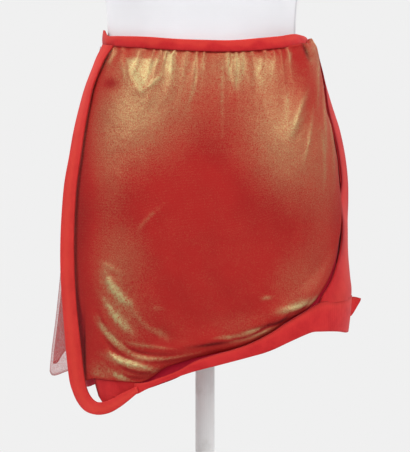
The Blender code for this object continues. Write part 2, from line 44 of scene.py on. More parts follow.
# A place on the cloth is a turn round the pole from the centre front in degrees, the
# distance down from the waist and the distance out from the skirt's smooth surface,
# both in millimetres.
skirtForm = {
    "waistHeight": 1040.0,
    "sectionPower": 2.25,
    "sections": [
        # down, left, right, front, back
        (-30, 124.0, 128.0, 88, 88),
        (0, 125.5, 131.0, 88, 88),
        (12, 127.0, 138.5, 90, 91),
        (30, 132.0, 142.0, 96, 98),
        (60, 143.0, 148.0, 103, 108),
        (90, 150.0, 153.0, 108, 117),
        (120, 156.0, 161.0, 111, 124),
        (150, 160.0, 167.0, 112, 129),
        (180, 164.0, 170.0, 112, 131),
        (210, 166.0, 172.0, 111, 131),
        (240, 167.0, 172.0, 110, 129),
        (270, 167.0, 172.0, 109, 127),
        (300, 166.0, 173.0, 108, 125),
        (330, 164.0, 174.0, 107, 123),
        (360, 161.0, 175.0, 106, 121),
        (390, 158.0, 176.0, 105, 120),
        (430, 155.0, 176.0, 104, 119),
        (490, 150.0, 176.0, 102, 118),
    ],
    "panelTops": [
        # turn, down
        (-180, 14.8), (-120, 13.8), (-92, 12.1), (-76, 11.1), (-63, 12.0), (-47, 13.6),
        (-21, 16.2), (-2, 17.4), (20, 17.4), (38, 16.2), (53, 14.2), (66, 11.2),
        (76, 4.0), (90, 2.0), (98, 4.5), (108, 14.4), (120, 14.8), (180, 14.8),
    ],
}


def readRows(rows, place):
    # every column but the first, read along a smooth curve
    table = np.array(rows, dtype=float)
    knots = table[:, 0]
    values = table[:, 1:]
    slopes = np.gradient(values, knots, axis=0)
    place = np.clip(place, knots[0], knots[-1])
    upper = np.clip(np.searchsorted(knots, place), 1, len(knots) - 1)
    lower = upper - 1
    span = (knots[upper] - knots[lower])[..., None]
    part = (place - knots[lower])[..., None] / span
    keep = 1 - part
    fromLower = keep**2 * (1 + 2 * part) * values[lower] + keep**2 * part * span * slopes[lower]
    fromUpper = part**2 * (3 - 2 * part) * values[upper] - part**2 * keep * span * slopes[upper]
    return fromLower + fromUpper


def readLine(rows, place):
    return readRows(rows, place)[..., 0]


def ease(value, start, end, full=1.0):
    # runs smoothly from nothing at the start to its full strength at the end
    part = np.clip((value - start) / (end - start), 0, 1)
    return full * part * part * (3 - 2 * part)


def stroke(value, middle, halfWidth, strength):
    # a soft line, strongest at its middle
    return strength * np.exp(-((value - middle) / halfWidth)**2)


def levelPoint(turn, left, right, front, back):
    # a superellipse seen from above, and its outward direction
    half = (left + right) / 2
    side = np.sin(np.radians(turn))
    ahead = np.cos(np.radians(turn))
    depth = np.where(ahead > 0, front, back)
    power = skirtForm["sectionPower"]
    radius = (np.abs(side / half)**power + np.abs(ahead / depth)**power)**(-1 / power)
    outX = np.sign(side) * (radius * np.abs(side) / half)**(power - 1) / half
    outY = -np.sign(ahead) * (radius * np.abs(ahead) / depth)**(power - 1) / depth
    length = np.hypot(outX, outY)
    return (right - left) / 2 + radius * side, -radius * ahead, outX / length, outY / length


def clothPoint(turn, down, out):
    x, y, outX, outY = levelPoint(turn, *readRows(skirtForm["sections"], down).T)
    return np.stack([x + out * outX, y + out * outY, skirtForm["waistHeight"] - down], axis=-1)


def signedTurn(turn):
    return (turn + 180) % 360 - 180


def spread(up, stops):
    # a value that runs straight from each (up, value) stop to the next
    value = stops[0][1]
    for (start, low), (end, high) in zip(stops, stops[1:]):
        value = value + (high - low) * np.clip((up - start) / (end - start), 0, 1)
    return value


def foldRelief(folds, x, down, bend=2.0):
    # height of folds that each run through three places of the front view
    relief = np.zeros_like(x)
    steps = np.linspace(0, 1, 33)[:, None]
    for x0, down0, x1, down1, x2, down2, height, halfWidth in folds:
        ends = np.array([[x0, down0], [x1, down1], [x2, down2]], dtype=float)
        handle = 2 * ends[1] - (ends[0] + ends[2]) / 2
        curve = (1 - steps)**2 * ends[0] + 2 * steps * (1 - steps) * handle + steps**2 * ends[2]
        reach = 3 * halfWidth
        near = (x > curve[:, 0].min() - reach) & (x < curve[:, 0].max() + reach)
        near &= (down > curve[:, 1].min() - reach) & (down < curve[:, 1].max() + reach)
        if not near.any():
            continue
        gaps = np.hypot(x[near][:, None] - curve[:, 0], down[near][:, None] - curve[:, 1])
        fade = np.sin(np.pi * np.clip(steps[gaps.argmin(axis=1), 0], 0.06, 0.94))**0.6
        relief[near] += height * fade * np.exp(-(gaps.min(axis=1) / halfWidth)**bend)
    return relief


def ripple(x, down, length, seed):
    # uneven small waves, as long as given in millimetres, between -1 and 1
    waves = 6
    value = np.zeros_like(x)
    for index in range(waves):
        way = 2.4 * index + seed
        wave = length * (0.7 + 0.13 * index)
        along = x * math.cos(way) + down * math.sin(way)
        value += np.sin(along * 2 * math.pi / wave + 1.7 * index * seed)
    return value / waves


class Reading:
    # one socket of a node tree, which can be used in sums

    def __init__(self, nodes, socket):
        self.nodes = nodes
        self.socket = socket

    def join(self, operation, first, second):
        return self.nodes.node("ShaderNodeMath", {"operation": operation}, {0: first, 1: second})

    def __add__(self, other):
        return self.join("ADD", self, other)

    def __radd__(self, other):
        return self.join("ADD", other, self)

    def __sub__(self, other):
        return self.join("SUBTRACT", self, other)

    def __rsub__(self, other):
        return self.join("SUBTRACT", other, self)

    def __mul__(self, other):
        return self.join("MULTIPLY", self, other)

    def __rmul__(self, other):
        return self.join("MULTIPLY", other, self)


class Nodes:
    # a node tree, and the one way in which nodes are added to it

    def __init__(self, tree):
        self.tree = tree

    def node(self, kind, settings=None, inputs=None, output=0):
        made = self.tree.nodes.new(kind)
        for key, value in (settings or {}).items():
            setattr(made, key, value)
        for key, value in (inputs or {}).items():
            self.feed(made.inputs[key], value)
        return Reading(self, made.outputs[output])

    def feed(self, socket, value):
        if isinstance(value, Reading):
            self.tree.links.new(value.socket, socket)
        else:
            socket.default_value = value


class Finish(Nodes):
    # a material; the constants are those of its shader's sockets

    def __init__(self, name, **constants):
        self.material = bpy.data.materials.new(name)
        self.material.use_nodes = True
        super().__init__(self.material.node_tree)
        self.shader = self.tree.nodes["Principled BSDF"]
        for label, value in constants.items():
            self.shade(label.replace("_", " "), value)

    def shade(self, label, value):
        self.feed(self.shader.inputs[label], value)

    def shaderOut(self):
        return Reading(self, self.shader.outputs[0])

    def place(self):
        return self.node("ShaderNodeTexCoord", output="Object")

    def clothMap(self):
        return self.node("ShaderNodeUVMap", {"uv_map": "cloth"})

    def noise(self, where, scale, detail, roughness):
        return self.node("ShaderNodeTexNoise", None,
                         {"Vector": where, "Scale": scale, "Detail": detail, "Roughness": roughness})

    def waves(self, where, direction, scale, distortion, detail, detailScale=1.0):
        return self.node("ShaderNodeTexWave", {"bands_direction": direction},
                         {"Vector": where, "Scale": scale, "Distortion": distortion, "Detail": detail,
                          "Detail Scale": detailScale})

    def cells(self, where, scale):
        return self.node("ShaderNodeTexVoronoi", None, {"Vector": where, "Scale": scale})

    def attribute(self, name):
        return self.node("ShaderNodeAttribute", {"attribute_name": name}, output="Fac")

    def soften(self, value, low, high, first=0.0, last=1.0):
        span = {"Value": value, "From Min": low, "From Max": high, "To Min": first, "To Max": last}
        return self.node("ShaderNodeMapRange", {"interpolation_type": "SMOOTHSTEP"}, span)

    def clip(self, value):
        return self.node("ShaderNodeClamp", None, {"Value": value})

    def blend(self, factor, first, second):
        return self.node("ShaderNodeMix", {"data_type": "RGBA"}, {0: factor, 6: first, 7: second}, 2)

    def relief(self, height, depth, strength, below=None):
        inputs = {"Height": height, "Distance": depth, "Strength": strength}
        if below is not None:
            inputs["Normal"] = below
        return self.node("ShaderNodeBump", None, inputs)


def tint(red, green, blue):
    # sRGB bytes to the linear colour that a socket takes
    parts = [value / 255 for value in (red, green, blue)]
    return tuple(part / 12.92 if part < 0.04 else ((part + 0.055) / 1.055)**2.4 for part in parts) + (1,)


coatedMeshLook = {
    "cloth": tint(181, 39, 36),
    "clothPaintedGlow": tint(84, 6, 14),
    "clothShadeAndStain": tint(96, 8, 16),
    "foil": tint(196, 180, 128),
    "foilOlive": tint(172, 162, 120),
    "foilRoughness": 0.42,
    "cell": 1500.0,            # mesh holes to a metre
    "meshRows": 170.0,
    "grain": 900.0,
    "patch": 30.0,
    "stain": 14.0,
    "crinkle": 95.0,
    "crumple": 230.0,
    "crushed": (0.36, 0.64, -0.4, 0.3),  # crumple from, to, then share of foil lost, won
}


def addFoil(finish, share, color, roughness, normal, alpha=None):
    # metal foil laid over the cloth, which shows through between its flakes
    look = {"Base Color": color, "Metallic": 1.0, "Roughness": roughness, "Normal": normal}
    if alpha is not None:
        look["Alpha"] = alpha
    foil = finish.node("ShaderNodeBsdfPrincipled", None, look)
    both = finish.node("ShaderNodeMixShader", None, {0: share, 1: finish.shaderOut(), 2: foil})
    finish.feed(finish.tree.nodes["Material Output"].inputs["Surface"], both)


def makeCoatedMesh():
    look = coatedMeshLook
    finish = Finish("coatedMesh", Specular_IOR_Level=0.12, Roughness=0.85, Emission_Strength=1.0)
    spot = finish.place()
    weave = finish.clothMap()
    grain = finish.noise(spot, look["grain"], 2.0, 0.7)
    patch = finish.noise(spot, look["patch"], 4.0, 0.6)
    rows = finish.waves(weave, "Y", look["meshRows"], 3.0, 2.0, 3.0)
    # the foil attribute is laid thick where highlights fall and thin in shade: painted highlight and painted
    # shade besides the foil's own thickness
    foil = finish.attribute("foil")
    broken = finish.noise(spot, look["crumple"], 4.0, 0.65)
    crushed = finish.soften(broken, *look["crushed"]) * finish.attribute("crushed") + 1.0
    worn = (grain - 0.5) * (0.5 + 3.2 * foil) + (patch - 0.5) * 0.12 + (rows - 0.5) * 0.03
    share = finish.clip(foil * crushed + worn)
    holes = finish.cells(weave, look["cell"])
    stain = finish.noise(spot, look["stain"], 3.0, 0.5)
    # painted shade from the deep attribute, plus random stains, darkens the cloth
    deep = finish.attribute("deep") + finish.soften(stain, 0.35, 0.8, 0.0, 0.2)
    finish.shade("Base Color", finish.blend(deep, look["cloth"], look["clothShadeAndStain"]))
    # a painted glow lifts the painted shade in the wedge beside the left tape
    finish.shade("Emission Color", finish.blend(finish.attribute("paintedGlow"), (0, 0, 0, 1), look["clothPaintedGlow"]))
    gold = finish.blend(finish.attribute("olive"), look["foil"], look["foilOlive"])
    crinkle = finish.noise(spot, look["crinkle"], 5.0, 0.62)
    lower = finish.relief(crinkle + 0.25 * broken, 0.0016, 0.42)
    bumps = finish.relief(holes + 0.2 * rows, 0.0003, 0.3, lower)
    finish.shade("Normal", bumps)
    addFoil(finish, share, gold, look["foilRoughness"] + 0.1 * patch, bumps)
    return finish.material


looseMeshLook = {
    "cloth": tint(150, 44, 42),
    "clothWorn": tint(126, 30, 32),
    "paintedGlow": tint(132, 34, 34),
    "edge": tint(70, 22, 22),
    "foilRoughness": 0.45,
    "patch": 22.0,
    "cover": (0.1, 0.75, 0.84, 0.3),   # cell from, to, then cover on its thread, in its hole
    "edgeCover": 0.35,
}


def makeLooseMesh():
    # the mesh with nothing behind it, which can be seen through
    look = looseMeshLook
    # the whole loose mesh has a painted glow, as if lit through
    finish = Finish("looseMesh", Specular_IOR_Level=0.1, Roughness=0.85, Emission_Strength=1.0,
                    Emission_Color=look["paintedGlow"])
    spot = finish.place()
    grain = finish.noise(spot, coatedMeshLook["grain"], 2.0, 0.7)
    patch = finish.noise(spot, look["patch"], 4.0, 0.6)
    foil = finish.attribute("foil")
    worn = (grain - 0.5) * (0.12 + 3.2 * foil) + (patch - 0.5) * (0.04 + 0.5 * foil)
    share = finish.clip(foil + worn)
    holes = finish.cells(finish.clothMap(), coatedMeshLook["cell"])
    edge = finish.attribute("edge")
    cover = finish.soften(holes, *look["cover"]) * finish.attribute("whole")
    alpha = finish.clip(cover + look["edgeCover"] * edge)
    cloth = finish.blend(patch, look["cloth"], look["clothWorn"])
    finish.shade("Base Color", finish.blend(edge, cloth, look["edge"]))
    finish.shade("Alpha", alpha)
    crinkle = finish.noise(spot, coatedMeshLook["crinkle"], 4.0, 0.6)
    bumps = finish.relief(crinkle, 0.0014, 0.45)
    finish.shade("Normal", bumps)
    addFoil(finish, share, coatedMeshLook["foil"], look["foilRoughness"], bumps, alpha)
    return finish.material


jerseyLook = {
    "shadow": tint(118, 8, 20),
    "ribs": 98.73,             # scale of the knitted ribs
    "mottle": 45.0,
    "fuzz": 900.0,
}


def makeJersey(name, bright, deep, orange, **more):
    # knitted tape or cloth, mottled between bright and deep and fuzzed with orange
    finish = Finish(name, Specular_IOR_Level=0.12, Sheen_Weight=0.1, Sheen_Roughness=0.5, **more)
    spot = finish.place()
    ribs = finish.waves(finish.clothMap(), "X", jerseyLook["ribs"], 0.6, 1.0)
    mottle = finish.noise(spot, jerseyLook["mottle"], 4.0, 0.6)
    fuzz = finish.noise(spot, jerseyLook["fuzz"], 2.0, 0.6)
    ground = finish.blend(finish.soften(mottle, 0.3, 0.75), bright, deep)
    # the pale attribute paints light towards orange, the dim attribute paints shade towards the shadow
    # colour
    paler = finish.blend(finish.attribute("pale"), ground, orange)
    lit = finish.blend(finish.soften(fuzz, 0.45, 0.8, 0.0, 0.25), paler, orange)
    finish.shade("Base Color", finish.blend(finish.attribute("dim"), lit, jerseyLook["shadow"]))
    finish.shade("Roughness", finish.soften(fuzz, 0.3, 0.8, 0.78, 0.9))
    lower = finish.relief(finish.noise(spot, 70.0, 3.0, 0.5), 0.0012, 0.35)
    finish.shade("Normal", finish.relief(ribs + 0.6 * fuzz, 0.0002, 0.3, lower))
    return finish.material


formCoverLook = {
    "cover": tint(248, 248, 252),
    "coverWorn": tint(241, 240, 244),
    "seam": tint(196, 195, 200),
    "fine": 700.0,
    "broad": 9.0,
    "threads": 160.0,
}


def makeFormCover():
    look = formCoverLook
    finish = Finish("formCover", Specular_IOR_Level=0.3, Sheen_Weight=0.25, Sheen_Roughness=0.5)
    spot = finish.place()
    fine = finish.noise(spot, look["fine"], 2.0, 0.6)
    broad = finish.noise(spot, look["broad"], 3.0, 0.5)
    threads = finish.waves(spot, "Z", look["threads"], 1.5, 2.0)
    cover = finish.blend(finish.soften(broad, 0.3, 0.7), look["cover"], look["coverWorn"])
    finish.shade("Base Color", finish.blend(finish.attribute("seam"), cover, look["seam"]))
    finish.shade("Roughness", finish.soften(fine, 0.3, 0.7, 0.78, 0.9))
    finish.shade("Normal", finish.relief(fine + 0.5 * threads, 0.0003, 0.3))
    return finish.material


paintLook = {
    "peel": 420.0,
    "scuff": 30.0,
}


def makeSatinPaint(name, main, worn, rough):
    finish = Finish(name, Specular_IOR_Level=0.5)
    spot = finish.place()
    peel = finish.noise(spot, paintLook["peel"], 2.0, 0.5)
    scuff = finish.noise(spot, paintLook["scuff"], 5.0, 0.65)
    finish.shade("Base Color", finish.blend(finish.soften(scuff, 0.5, 0.8), main, worn))
    finish.shade("Roughness", finish.soften(scuff, 0.35, 0.75, rough, rough + 0.15))
    finish.shade("Normal", finish.relief(peel, 0.0002, 0.15))
    return finish.material


finishes = {
    "coatedMesh": makeCoatedMesh(),
    "looseMesh": makeLooseMesh(),
    "tapeJersey": makeJersey("tapeJersey", tint(216, 48, 50), tint(198, 34, 40), tint(228, 72, 58)),
    "bodyJersey": makeJersey("bodyJersey", tint(170, 32, 34), tint(140, 22, 26), tint(190, 50, 44)),
    # lining in shadow: dark colours as painted shade, with a painted glow
    "shadowJersey": makeJersey("shadowJersey", tint(158, 16, 34), tint(134, 10, 26), tint(176, 28, 38),
                               Emission_Strength=1.0, Emission_Color=tint(78, 4, 18)),
    "formCover": makeFormCover(),
    "capPaint": makeSatinPaint("capPaint", tint(226, 226, 228), tint(206, 206, 208), 0.45),
    "polePaint": makeSatinPaint("polePaint", tint(236, 235, 235), tint(216, 214, 212), 0.32),
}
print("materials made:", len(finishes))


def finishPiece(piece, finishName, slotName, *nodeNames):
    piece.data.materials.append(finishes[finishName])
    piece.data.shade_smooth()
    bpy.context.scene.collection.objects.link(piece)
    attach(piece, "root")
    if nodeNames:
        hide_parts(*nodeNames)


def layCloth(name, place, columns, rows, wall, size, paint=None):
    # a grid laid on the cloth's outer face, with its wall inward; size is width and length in mm
    width, length = size
    work = bmesh.new()
    middle = Matrix.Translation((0.5, 0.5, 0))
    bmesh.ops.create_grid(work, x_segments=columns, y_segments=rows, size=0.5, matrix=middle)
    flat = np.array([vert.co[:2] for vert in work.verts])
    clothMap = work.loops.layers.uv.new("cloth")
    for face in work.faces:
        for loop in face.loops:
            spot = loop.vert.co
            loop[clothMap].uv = (spot.x * width * millimetre, spot.y * length * millimetre)
    points = place(flat[:, 0], flat[:, 1])
    for vert, point in zip(work.verts, points):
        vert.co = point * millimetre
    mesh = bpy.data.meshes.new(name)
    work.to_mesh(mesh)
    work.free()
    for label, values in (paint(flat[:, 0], flat[:, 1], points) if paint else {}).items():
        layer = mesh.attributes.new(label, "FLOAT", "POINT")
        layer.data.foreach_set("value", np.clip(values, 0, 1).astype(np.float32))
    piece = bpy.data.objects.new(name, mesh)
    solidify = piece.modifiers.new("wall", "SOLIDIFY")
    solidify.thickness = wall * millimetre
    solidify.offset = -1
    return piece


frontPanel = {
    "edge": 91.0,              # turn of the right edge; the left one is at minus this
    "rows": [
        # share of the grid's rows from the hem, share of the length
        (0, 0), (0.3, 0.14), (0.6, 0.4), (0.8, 0.83),
    ],
    "gathers": 24,
    "gatherHeight": 1.9,
    "creasesStart": (-2.5, 1.0),   # from and to, below the waistband
    "creasesEnd": (82, 89),    # from turn, to turn, at both sides
    "bandLap": 4.0,            # how far the panel runs up behind the waistband
    "lapDepth": 2.6,
    "lapStart": (-2.5, 1.5),
    "lapEnd": (50, 58),
    "bandEnd": (66, 72),       # turns where the panel leaves the waistband
    "bulge": (19.0, 13.0, 4.2),    # over the rolled edge: middle, half width, height
    "tuck": 5.0,               # how far the rolled edge itself turns in
    "tuckReach": 14.0,
    "rollStart": (-48, -26),
    "rollEnd": (60, 78, 0.7),  # from turn, to turn, share lost
    "edgeCurl": 4.5,           # how far the right edge turns in
    "curlTurns": (78, 90),
    "curlDown": (50, 100),
    "hemGap": 0.4,
    "hem": [
        # turn, down
        (-92, 430.0), (-78, 426.9), (-71, 421.9), (-56, 421.5), (-42, 420.9), (-33, 414.0),
        (-24, 406.6), (-12, 394.0), (2, 385.4), (16, 378.0), (26, 370.7), (33, 363.6),
        (39, 356.6), (44, 349.0), (49, 342.2), (54, 335.6), (58, 330.2), (63, 317.8),
        (69, 300.0), (75, 274.5), (79, 252.0), (82, 232.0), (86, 212.0), (92, 196.0),
    ],
    "edgeLift": [
        # turn, how far the rolled edge is drawn up from the band
        (-92, 0.0), (-50, 0.0), (-42, 0.6), (-36, 4.5), (-30, 8.5), (-24, 8.0), (-16, 4.5), (-8, 1.4),
        (0, 0.0), (92, 0.0),
    ],
    "folds": [
        # x, down, x, down, x, down, height, half width
        (-124, 290, -110, 318, -86, 333, 2.2, 8.0),
        (-125, 325, -107, 355, -75, 371, 2.4, 8.5),
        (-126, 348, -101, 398, -6, 384, 3.0, 9.5),
        (-73, 372, -37, 380, 12, 367, 1.6, 7.0),
        (-114, 384, -94, 404, -57, 405, 2.4, 7.0),
        (-67, 352, -53, 363, -35, 367, -1.6, 7.0),
        (86, 337, 114, 333, 138, 311, 2.6, 8.5),
        (8, 368, 51, 366, 84, 345, 2.2, 8.5),
        (-12, 379, 49, 383, 108, 341, -2.0, 7.0),
        (-94, 20, -89, 49, -70, 72, 1.8, 9.0),
        (-49, 16, -50, 42, -53, 66, -1.8, 7.0),
        (-10, 20, -17, 57, -27, 84, 1.6, 8.0),
        (21, 17, 21, 87, 19, 166, -1.2, 7.0),
        (99, 40, 100, 76, 97, 118, -1.8, 9.0),
        (128, 35, 117, 81, 98, 122, 1.8, 9.0),
        (-82, 250, -69, 224, -46, 203, 1.4, 8.0),
    ],
    "creases": [
        # x, down, x, down, x, down, height, half width
        (-114, 13, -118, 22, -123, 34, 0.9, 2.6),
        (-106, 13, -114, 24, -125, 38, 0.9, 2.6),
        (-103, 25, -100, 38, -97, 53, 0.9, 3.0),
        (-95, 31, -88, 47, -78, 64, 1.1, 3.2),
        (-76, 64, -62, 54, -47, 40, 1.1, 3.4),
        (-49, 17, -49, 28, -49, 42, -1.0, 3.0),
        (-43, 17, -41, 28, -40, 42, 0.9, 2.8),
        (-10, 22, -13, 57, -25, 92, 1.0, 2.0),
        (21, 27, 21, 63, 21, 118, 0.9, 1.8),
        (29, 19, 30, 39, 34, 62, 0.9, 2.6),
        (47, 19, 46, 37, 38, 60, 0.9, 2.6),
        (68, 22, 66, 33, 61, 50, 0.9, 2.8),
        (84, 25, 82, 37, 80, 52, 0.8, 2.6),
        (99, 66, 100, 81, 99, 104, 0.8, 3.2),
        (126, 65, 115, 91, 102, 118, 1.2, 3.2),
        (124, 92, 112, 108, 103, 124, 0.9, 2.6),
        (141, 26, 140, 53, 139, 90, 1.2, 2.0),
        (133, 84, 128, 124, 118, 160, 1.0, 1.8),
        (145, 60, 148, 96, 149, 140, 1.2, 2.0),
        (142, 110, 147, 146, 146, 186, 1.0, 1.8),
        (150, 74, 158, 127, 159, 190, 1.2, 2.0),
        (106, 15, 104, 23, 102, 34, 0.8, 2.6),
        (121, 8, 125, 16, 130, 28, -2.2, 2.6),
        (-127, 276, -116, 281, -103, 288, 0.9, 3.0),
        (-123, 285, -108, 312, -90, 325, 2.0, 4.0),
        (-126, 296, -112, 320, -94, 334, -1.3, 2.8),
        (-126, 330, -112, 352, -96, 364, -1.3, 2.8),
        (-131, 356, -118, 376, -94, 391, -1.2, 2.6),
        (-118, 396, -97, 405, -64, 411, -1.2, 2.6),
        (-92, 323, -76, 347, -48, 367, 0.8, 2.6),
        (-123, 320, -108, 343, -91, 358, 1.8, 3.8),
        (-130, 344, -117, 367, -94, 383, 1.8, 3.6),
        (-94, 382, -67, 392, -6, 384, 1.5, 2.8),
        (-96, 372, -73, 376, -35, 379, 1.0, 2.0),
        (-118, 387, -97, 397, -64, 404, 1.8, 3.4),
        (-117, 409, -107, 415, -92, 418, 1.0, 3.0),
        (-141, 415, -131, 415, -119, 417, 0.9, 3.0),
        (88, 334, 112, 330, 133, 323, 1.2, 3.2),
        (129, 325, 136, 320, 142, 315, 1.0, 2.8),
        (43, 364, 70, 359, 97, 348, 1.1, 2.6),
        (43, 358, 70, 352, 103, 342, -0.8, 2.2),
        (67, 318, 74, 317, 82, 316, 0.7, 2.0),
        (-67, 330, -59, 329, -50, 330, 0.6, 2.0),
        (-82, 234, -69, 219, -51, 203, 0.9, 2.0),
        (-6, 374, 24, 372, 70, 357, 0.8, 2.6),
    ],
    "ripples": [
        # length, seed, height
        (34, 1.0, 0.35), (11, 2.3, 0.14),
    ],
    # painted shade along crease lines, which also takes foil away
    "creaseShadeLines": [
        # x, down, x, down, x, down, darkness, half width
        (-130, 336, -120, 357, -99, 374, 0.45, 2.0),
        (-99, 376, -72, 385, -30, 384, 0.8, 2.0),
        (-123, 366, -103, 388, -72, 396, 0.7, 2.2),
        (-72, 396, -30, 392, 20, 379, 0.6, 2.2),
        (-104, 401, -86, 409, -68, 409, 0.8, 2.0),
        (-100, 413, -80, 417, -62, 412, 0.7, 2.0),
        (-118, 300, -106, 318, -92, 328, 0.35, 2.0),
        (34, 366, 56, 362, 78, 350, 0.9, 2.0),
        (78, 350, 92, 347, 104, 336, 1.0, 2.0),
        (104, 336, 118, 332, 130, 320, 0.7, 2.0),
    ],
    # where the foil is thick, as seen from the front; laid where highlights fall, so partly a painted
    # highlight, and the rows that take foil away a painted shade
    "foil": [
        # x, down, half width, half height, lean in degrees, strength
        (-80, 92, 52, 80, 42, 0.46),
        (91, 124, 46, 74, -24, 0.46),
        (-20, 110, 50, 46, 0, 0.07),
        (-85, 300, 44, 64, 0, 0.08),
        (-20, 350, 60, 26, 0, 0.04),
        (46, 348, 40, 22, 0, 0.08),
        (0, 36, 118, 30, 0, 0.24),
        (-43, 28, 8, 20, 0, 0.20),
        (38, 36, 16, 26, 0, 0.16),
        (72, 50, 14, 24, 0, 0.10),
        (136, 16, 8, 26, 0, 0.30),
        (-110, 320, 22, 60, -20, 0.18),
        (-100, 262, 28, 36, 0, 0.14),
        (-92, 405, 40, 18, 12, 0.14),
        (-108, 313, 6, 22, -41, 0.55),
        (-108, 341, 6, 20, -41, 0.45),
        (-115, 367, 5, 24, -45, 0.45),
        (-96, 397, 5, 24, -75, 0.55),
        (-106, 415, 4, 12, -71, 0.40),
        (-54, 360, 4, 12, -60, 0.22),
        (-132, 410, 12, 10, 0, 0.20),
        (114, 327, 22, 5, -16, 0.50),
        (64, 362, 30, 5, -14, 0.26),
        (75, 317, 5, 2.0, 0, 0.30),
        (57, 357, 11, 2.0, -14, 0.50),
        (28, 364, 13, 2.2, -4, 0.45),
        (10, 373, 26, 3.0, -8, -0.35),
        (108, 300, 34, 34, 0, 0.13),
        (148, 160, 20, 110, 0, 0.18),
        (128, 282, 34, 40, 0, 0.09),
        (-118, 200, 20, 70, 0, 0.08),
        (-148, 150, 14, 150, 0, -0.05),
        (-114, 56, 12, 8, 0, -0.22),
    ],
    # painted shadow of the left tape, without foil and with a painted glow, as three corners
    "wedges": [
        (-165, 280, -150, 350, -168, 380, 0.8),
        (-150, 350, -150, 422, -170, 380, 0.8),
    ],
    # painted highlights: more foil on flat places between creases, as three corners
    "facets": [
        # x, down, x, down, x, down, strength
        (-99, 24, -54, 26, -79, 66, 0.40),
        (-54, 16, -36, 16, -43, 46, 0.22),
        (28, 18, 48, 18, 38, 66, 0.22),
        (60, 22, 86, 26, 66, 66, 0.14),
    ],
    # where the cloth is in shadow
    "shadows": [
        # x, down, half width, half height, lean in degrees, strength
        (-114, 56, 10, 7, 0, 0.35),
        (124, 17, 2.5, 12, -22, 0.9),
        (-40, 402, 50, 3, -16, 0.5),
        (72, 352, 40, 2.5, -17, 0.5),
        (-149, 388, 1.3, 34, 0, 0.9),
        (8, 373, 24, 2.2, -8, 0.9),
    ],
    # painted shade, darker towards the sides
    "shade": [
        # side, x from, x to, down from, down to, strength
        (-1, 134, 160, 40, 150, 0.3), (1, 150, 168, 40, 150, 0.2),
    ],
    "olive": [
        (1, 90, 165, 60, 260, 1.0), (-1, 110, 160, -20, 0, 0.5),
    ],
    "crushed": [
        (-1, 20, 60, 270, 310, 1.0),
    ],
    "crushedTop": (90, 60, 0.4),   # down from, up to, strength
    "foilGround": -0.04,       # foil where no table adds any
    "crestHighlightFoil": 0.3,          # more foil on crests, a painted highlight
    # more foil on the gathers' crests, a painted highlight
    "pleatHighlightFoil": 0.16,
    "foilLostInShade": 0.6,           # foil taken away in the tape's shadow and along crease lines, a painted shade
    "lineShade": 0.6,
}


gathering = {
    "width": [
        # waves across the panel, their start, share of a gather
        (17, 0.6, 0.55), (41, 0.0, 0.35),
    ],
    "length": [
        # waves across the panel, their start, millimetres
        (31, 1.0, 7.0), (67, 0.0, 6.0),
    ],
    "height": [
        # waves across the panel, their start, share of the height
        (53, 2.0, 0.35),
    ],
    "meanLength": 15.0,
    "fineWaves": 2.3,          # small gathers to each large one
    "fineLength": 9.0,
}


def wander(across, waves):
    return sum(amount * np.sin(count * across + start) for count, start, amount in waves)


def ridges(turnedBy):
    # sharp crests between broad hollows
    return (1 - np.abs(np.sin(np.pi * turnedBy)))**1.5


def gatherRelief(across, waves, belowBand, height):
    # gathers below the waistband, uneven in width, length and height
    turnedBy = waves * across + wander(across, gathering["width"])
    length = gathering["meanLength"] + wander(across, gathering["length"])
    strong = 1 + wander(across, gathering["height"])
    fine = ridges(gathering["fineWaves"] * turnedBy + 0.2) * np.exp(-belowBand / gathering["fineLength"])
    wave = 0.4 * np.cos(2 * np.pi * turnedBy) + 0.6 * (2 * ridges(turnedBy) - 0.75) + 0.35 * fine
    return height * strong * wave * np.exp(-belowBand / length)


def creaseRelief(panel, across, x, down, belowBand):
    # a panel's gathers, folds, sharp creases and small waves
    relief = gatherRelief(across, panel["gathers"], belowBand, panel["gatherHeight"])
    relief += foldRelief(panel["folds"], x, down)
    relief += foldRelief(panel["creases"], x, down, 1.5)
    for length, seed, height in panel["ripples"]:
        relief += height * ripple(x, down, length, seed)
    return relief


def placeFront(across, up):
    panel = frontPanel
    turn = panel["edge"] * (2 * across - 1)
    top = readLine(skirtForm["panelTops"], turn)
    hem = readLine(panel["hem"], turn) - readLine(panel["edgeLift"], turn) - panel["hemGap"]
    lap = panel["bandLap"] * (1 - ease(turn, *panel["bandEnd"]))
    stops = [(share, hem - part * (hem - top)) for share, part in panel["rows"]]
    down = spread(up, stops + [(1, top - lap)])
    belowBand = down - top
    aboveHem = hem - down
    creased = creaseRelief(panel, across, clothPoint(turn, down, 0)[:, 0], down, belowBand)
    creased *= 1 - ease(np.abs(turn), *panel["creasesEnd"])
    creased *= ease(belowBand, *panel["creasesStart"])
    behindBand = panel["lapDepth"] * (1 - ease(turn, *panel["lapEnd"]))
    behindBand *= 1 - ease(belowBand, *panel["lapStart"])
    bulge = stroke(aboveHem, *panel["bulge"])
    tuck = panel["tuck"] * np.clip(1 - aboveHem / panel["tuckReach"], 0, 1)**2
    rolled = ease(turn, *panel["rollStart"]) * (1 - ease(turn, *panel["rollEnd"]))
    edgeCurl = panel["edgeCurl"] * ease(turn, *panel["curlTurns"]) * ease(down, *panel["curlDown"])
    return clothPoint(turn, down, creased + rolled * (bulge - tuck) - behindBand - edgeCurl)


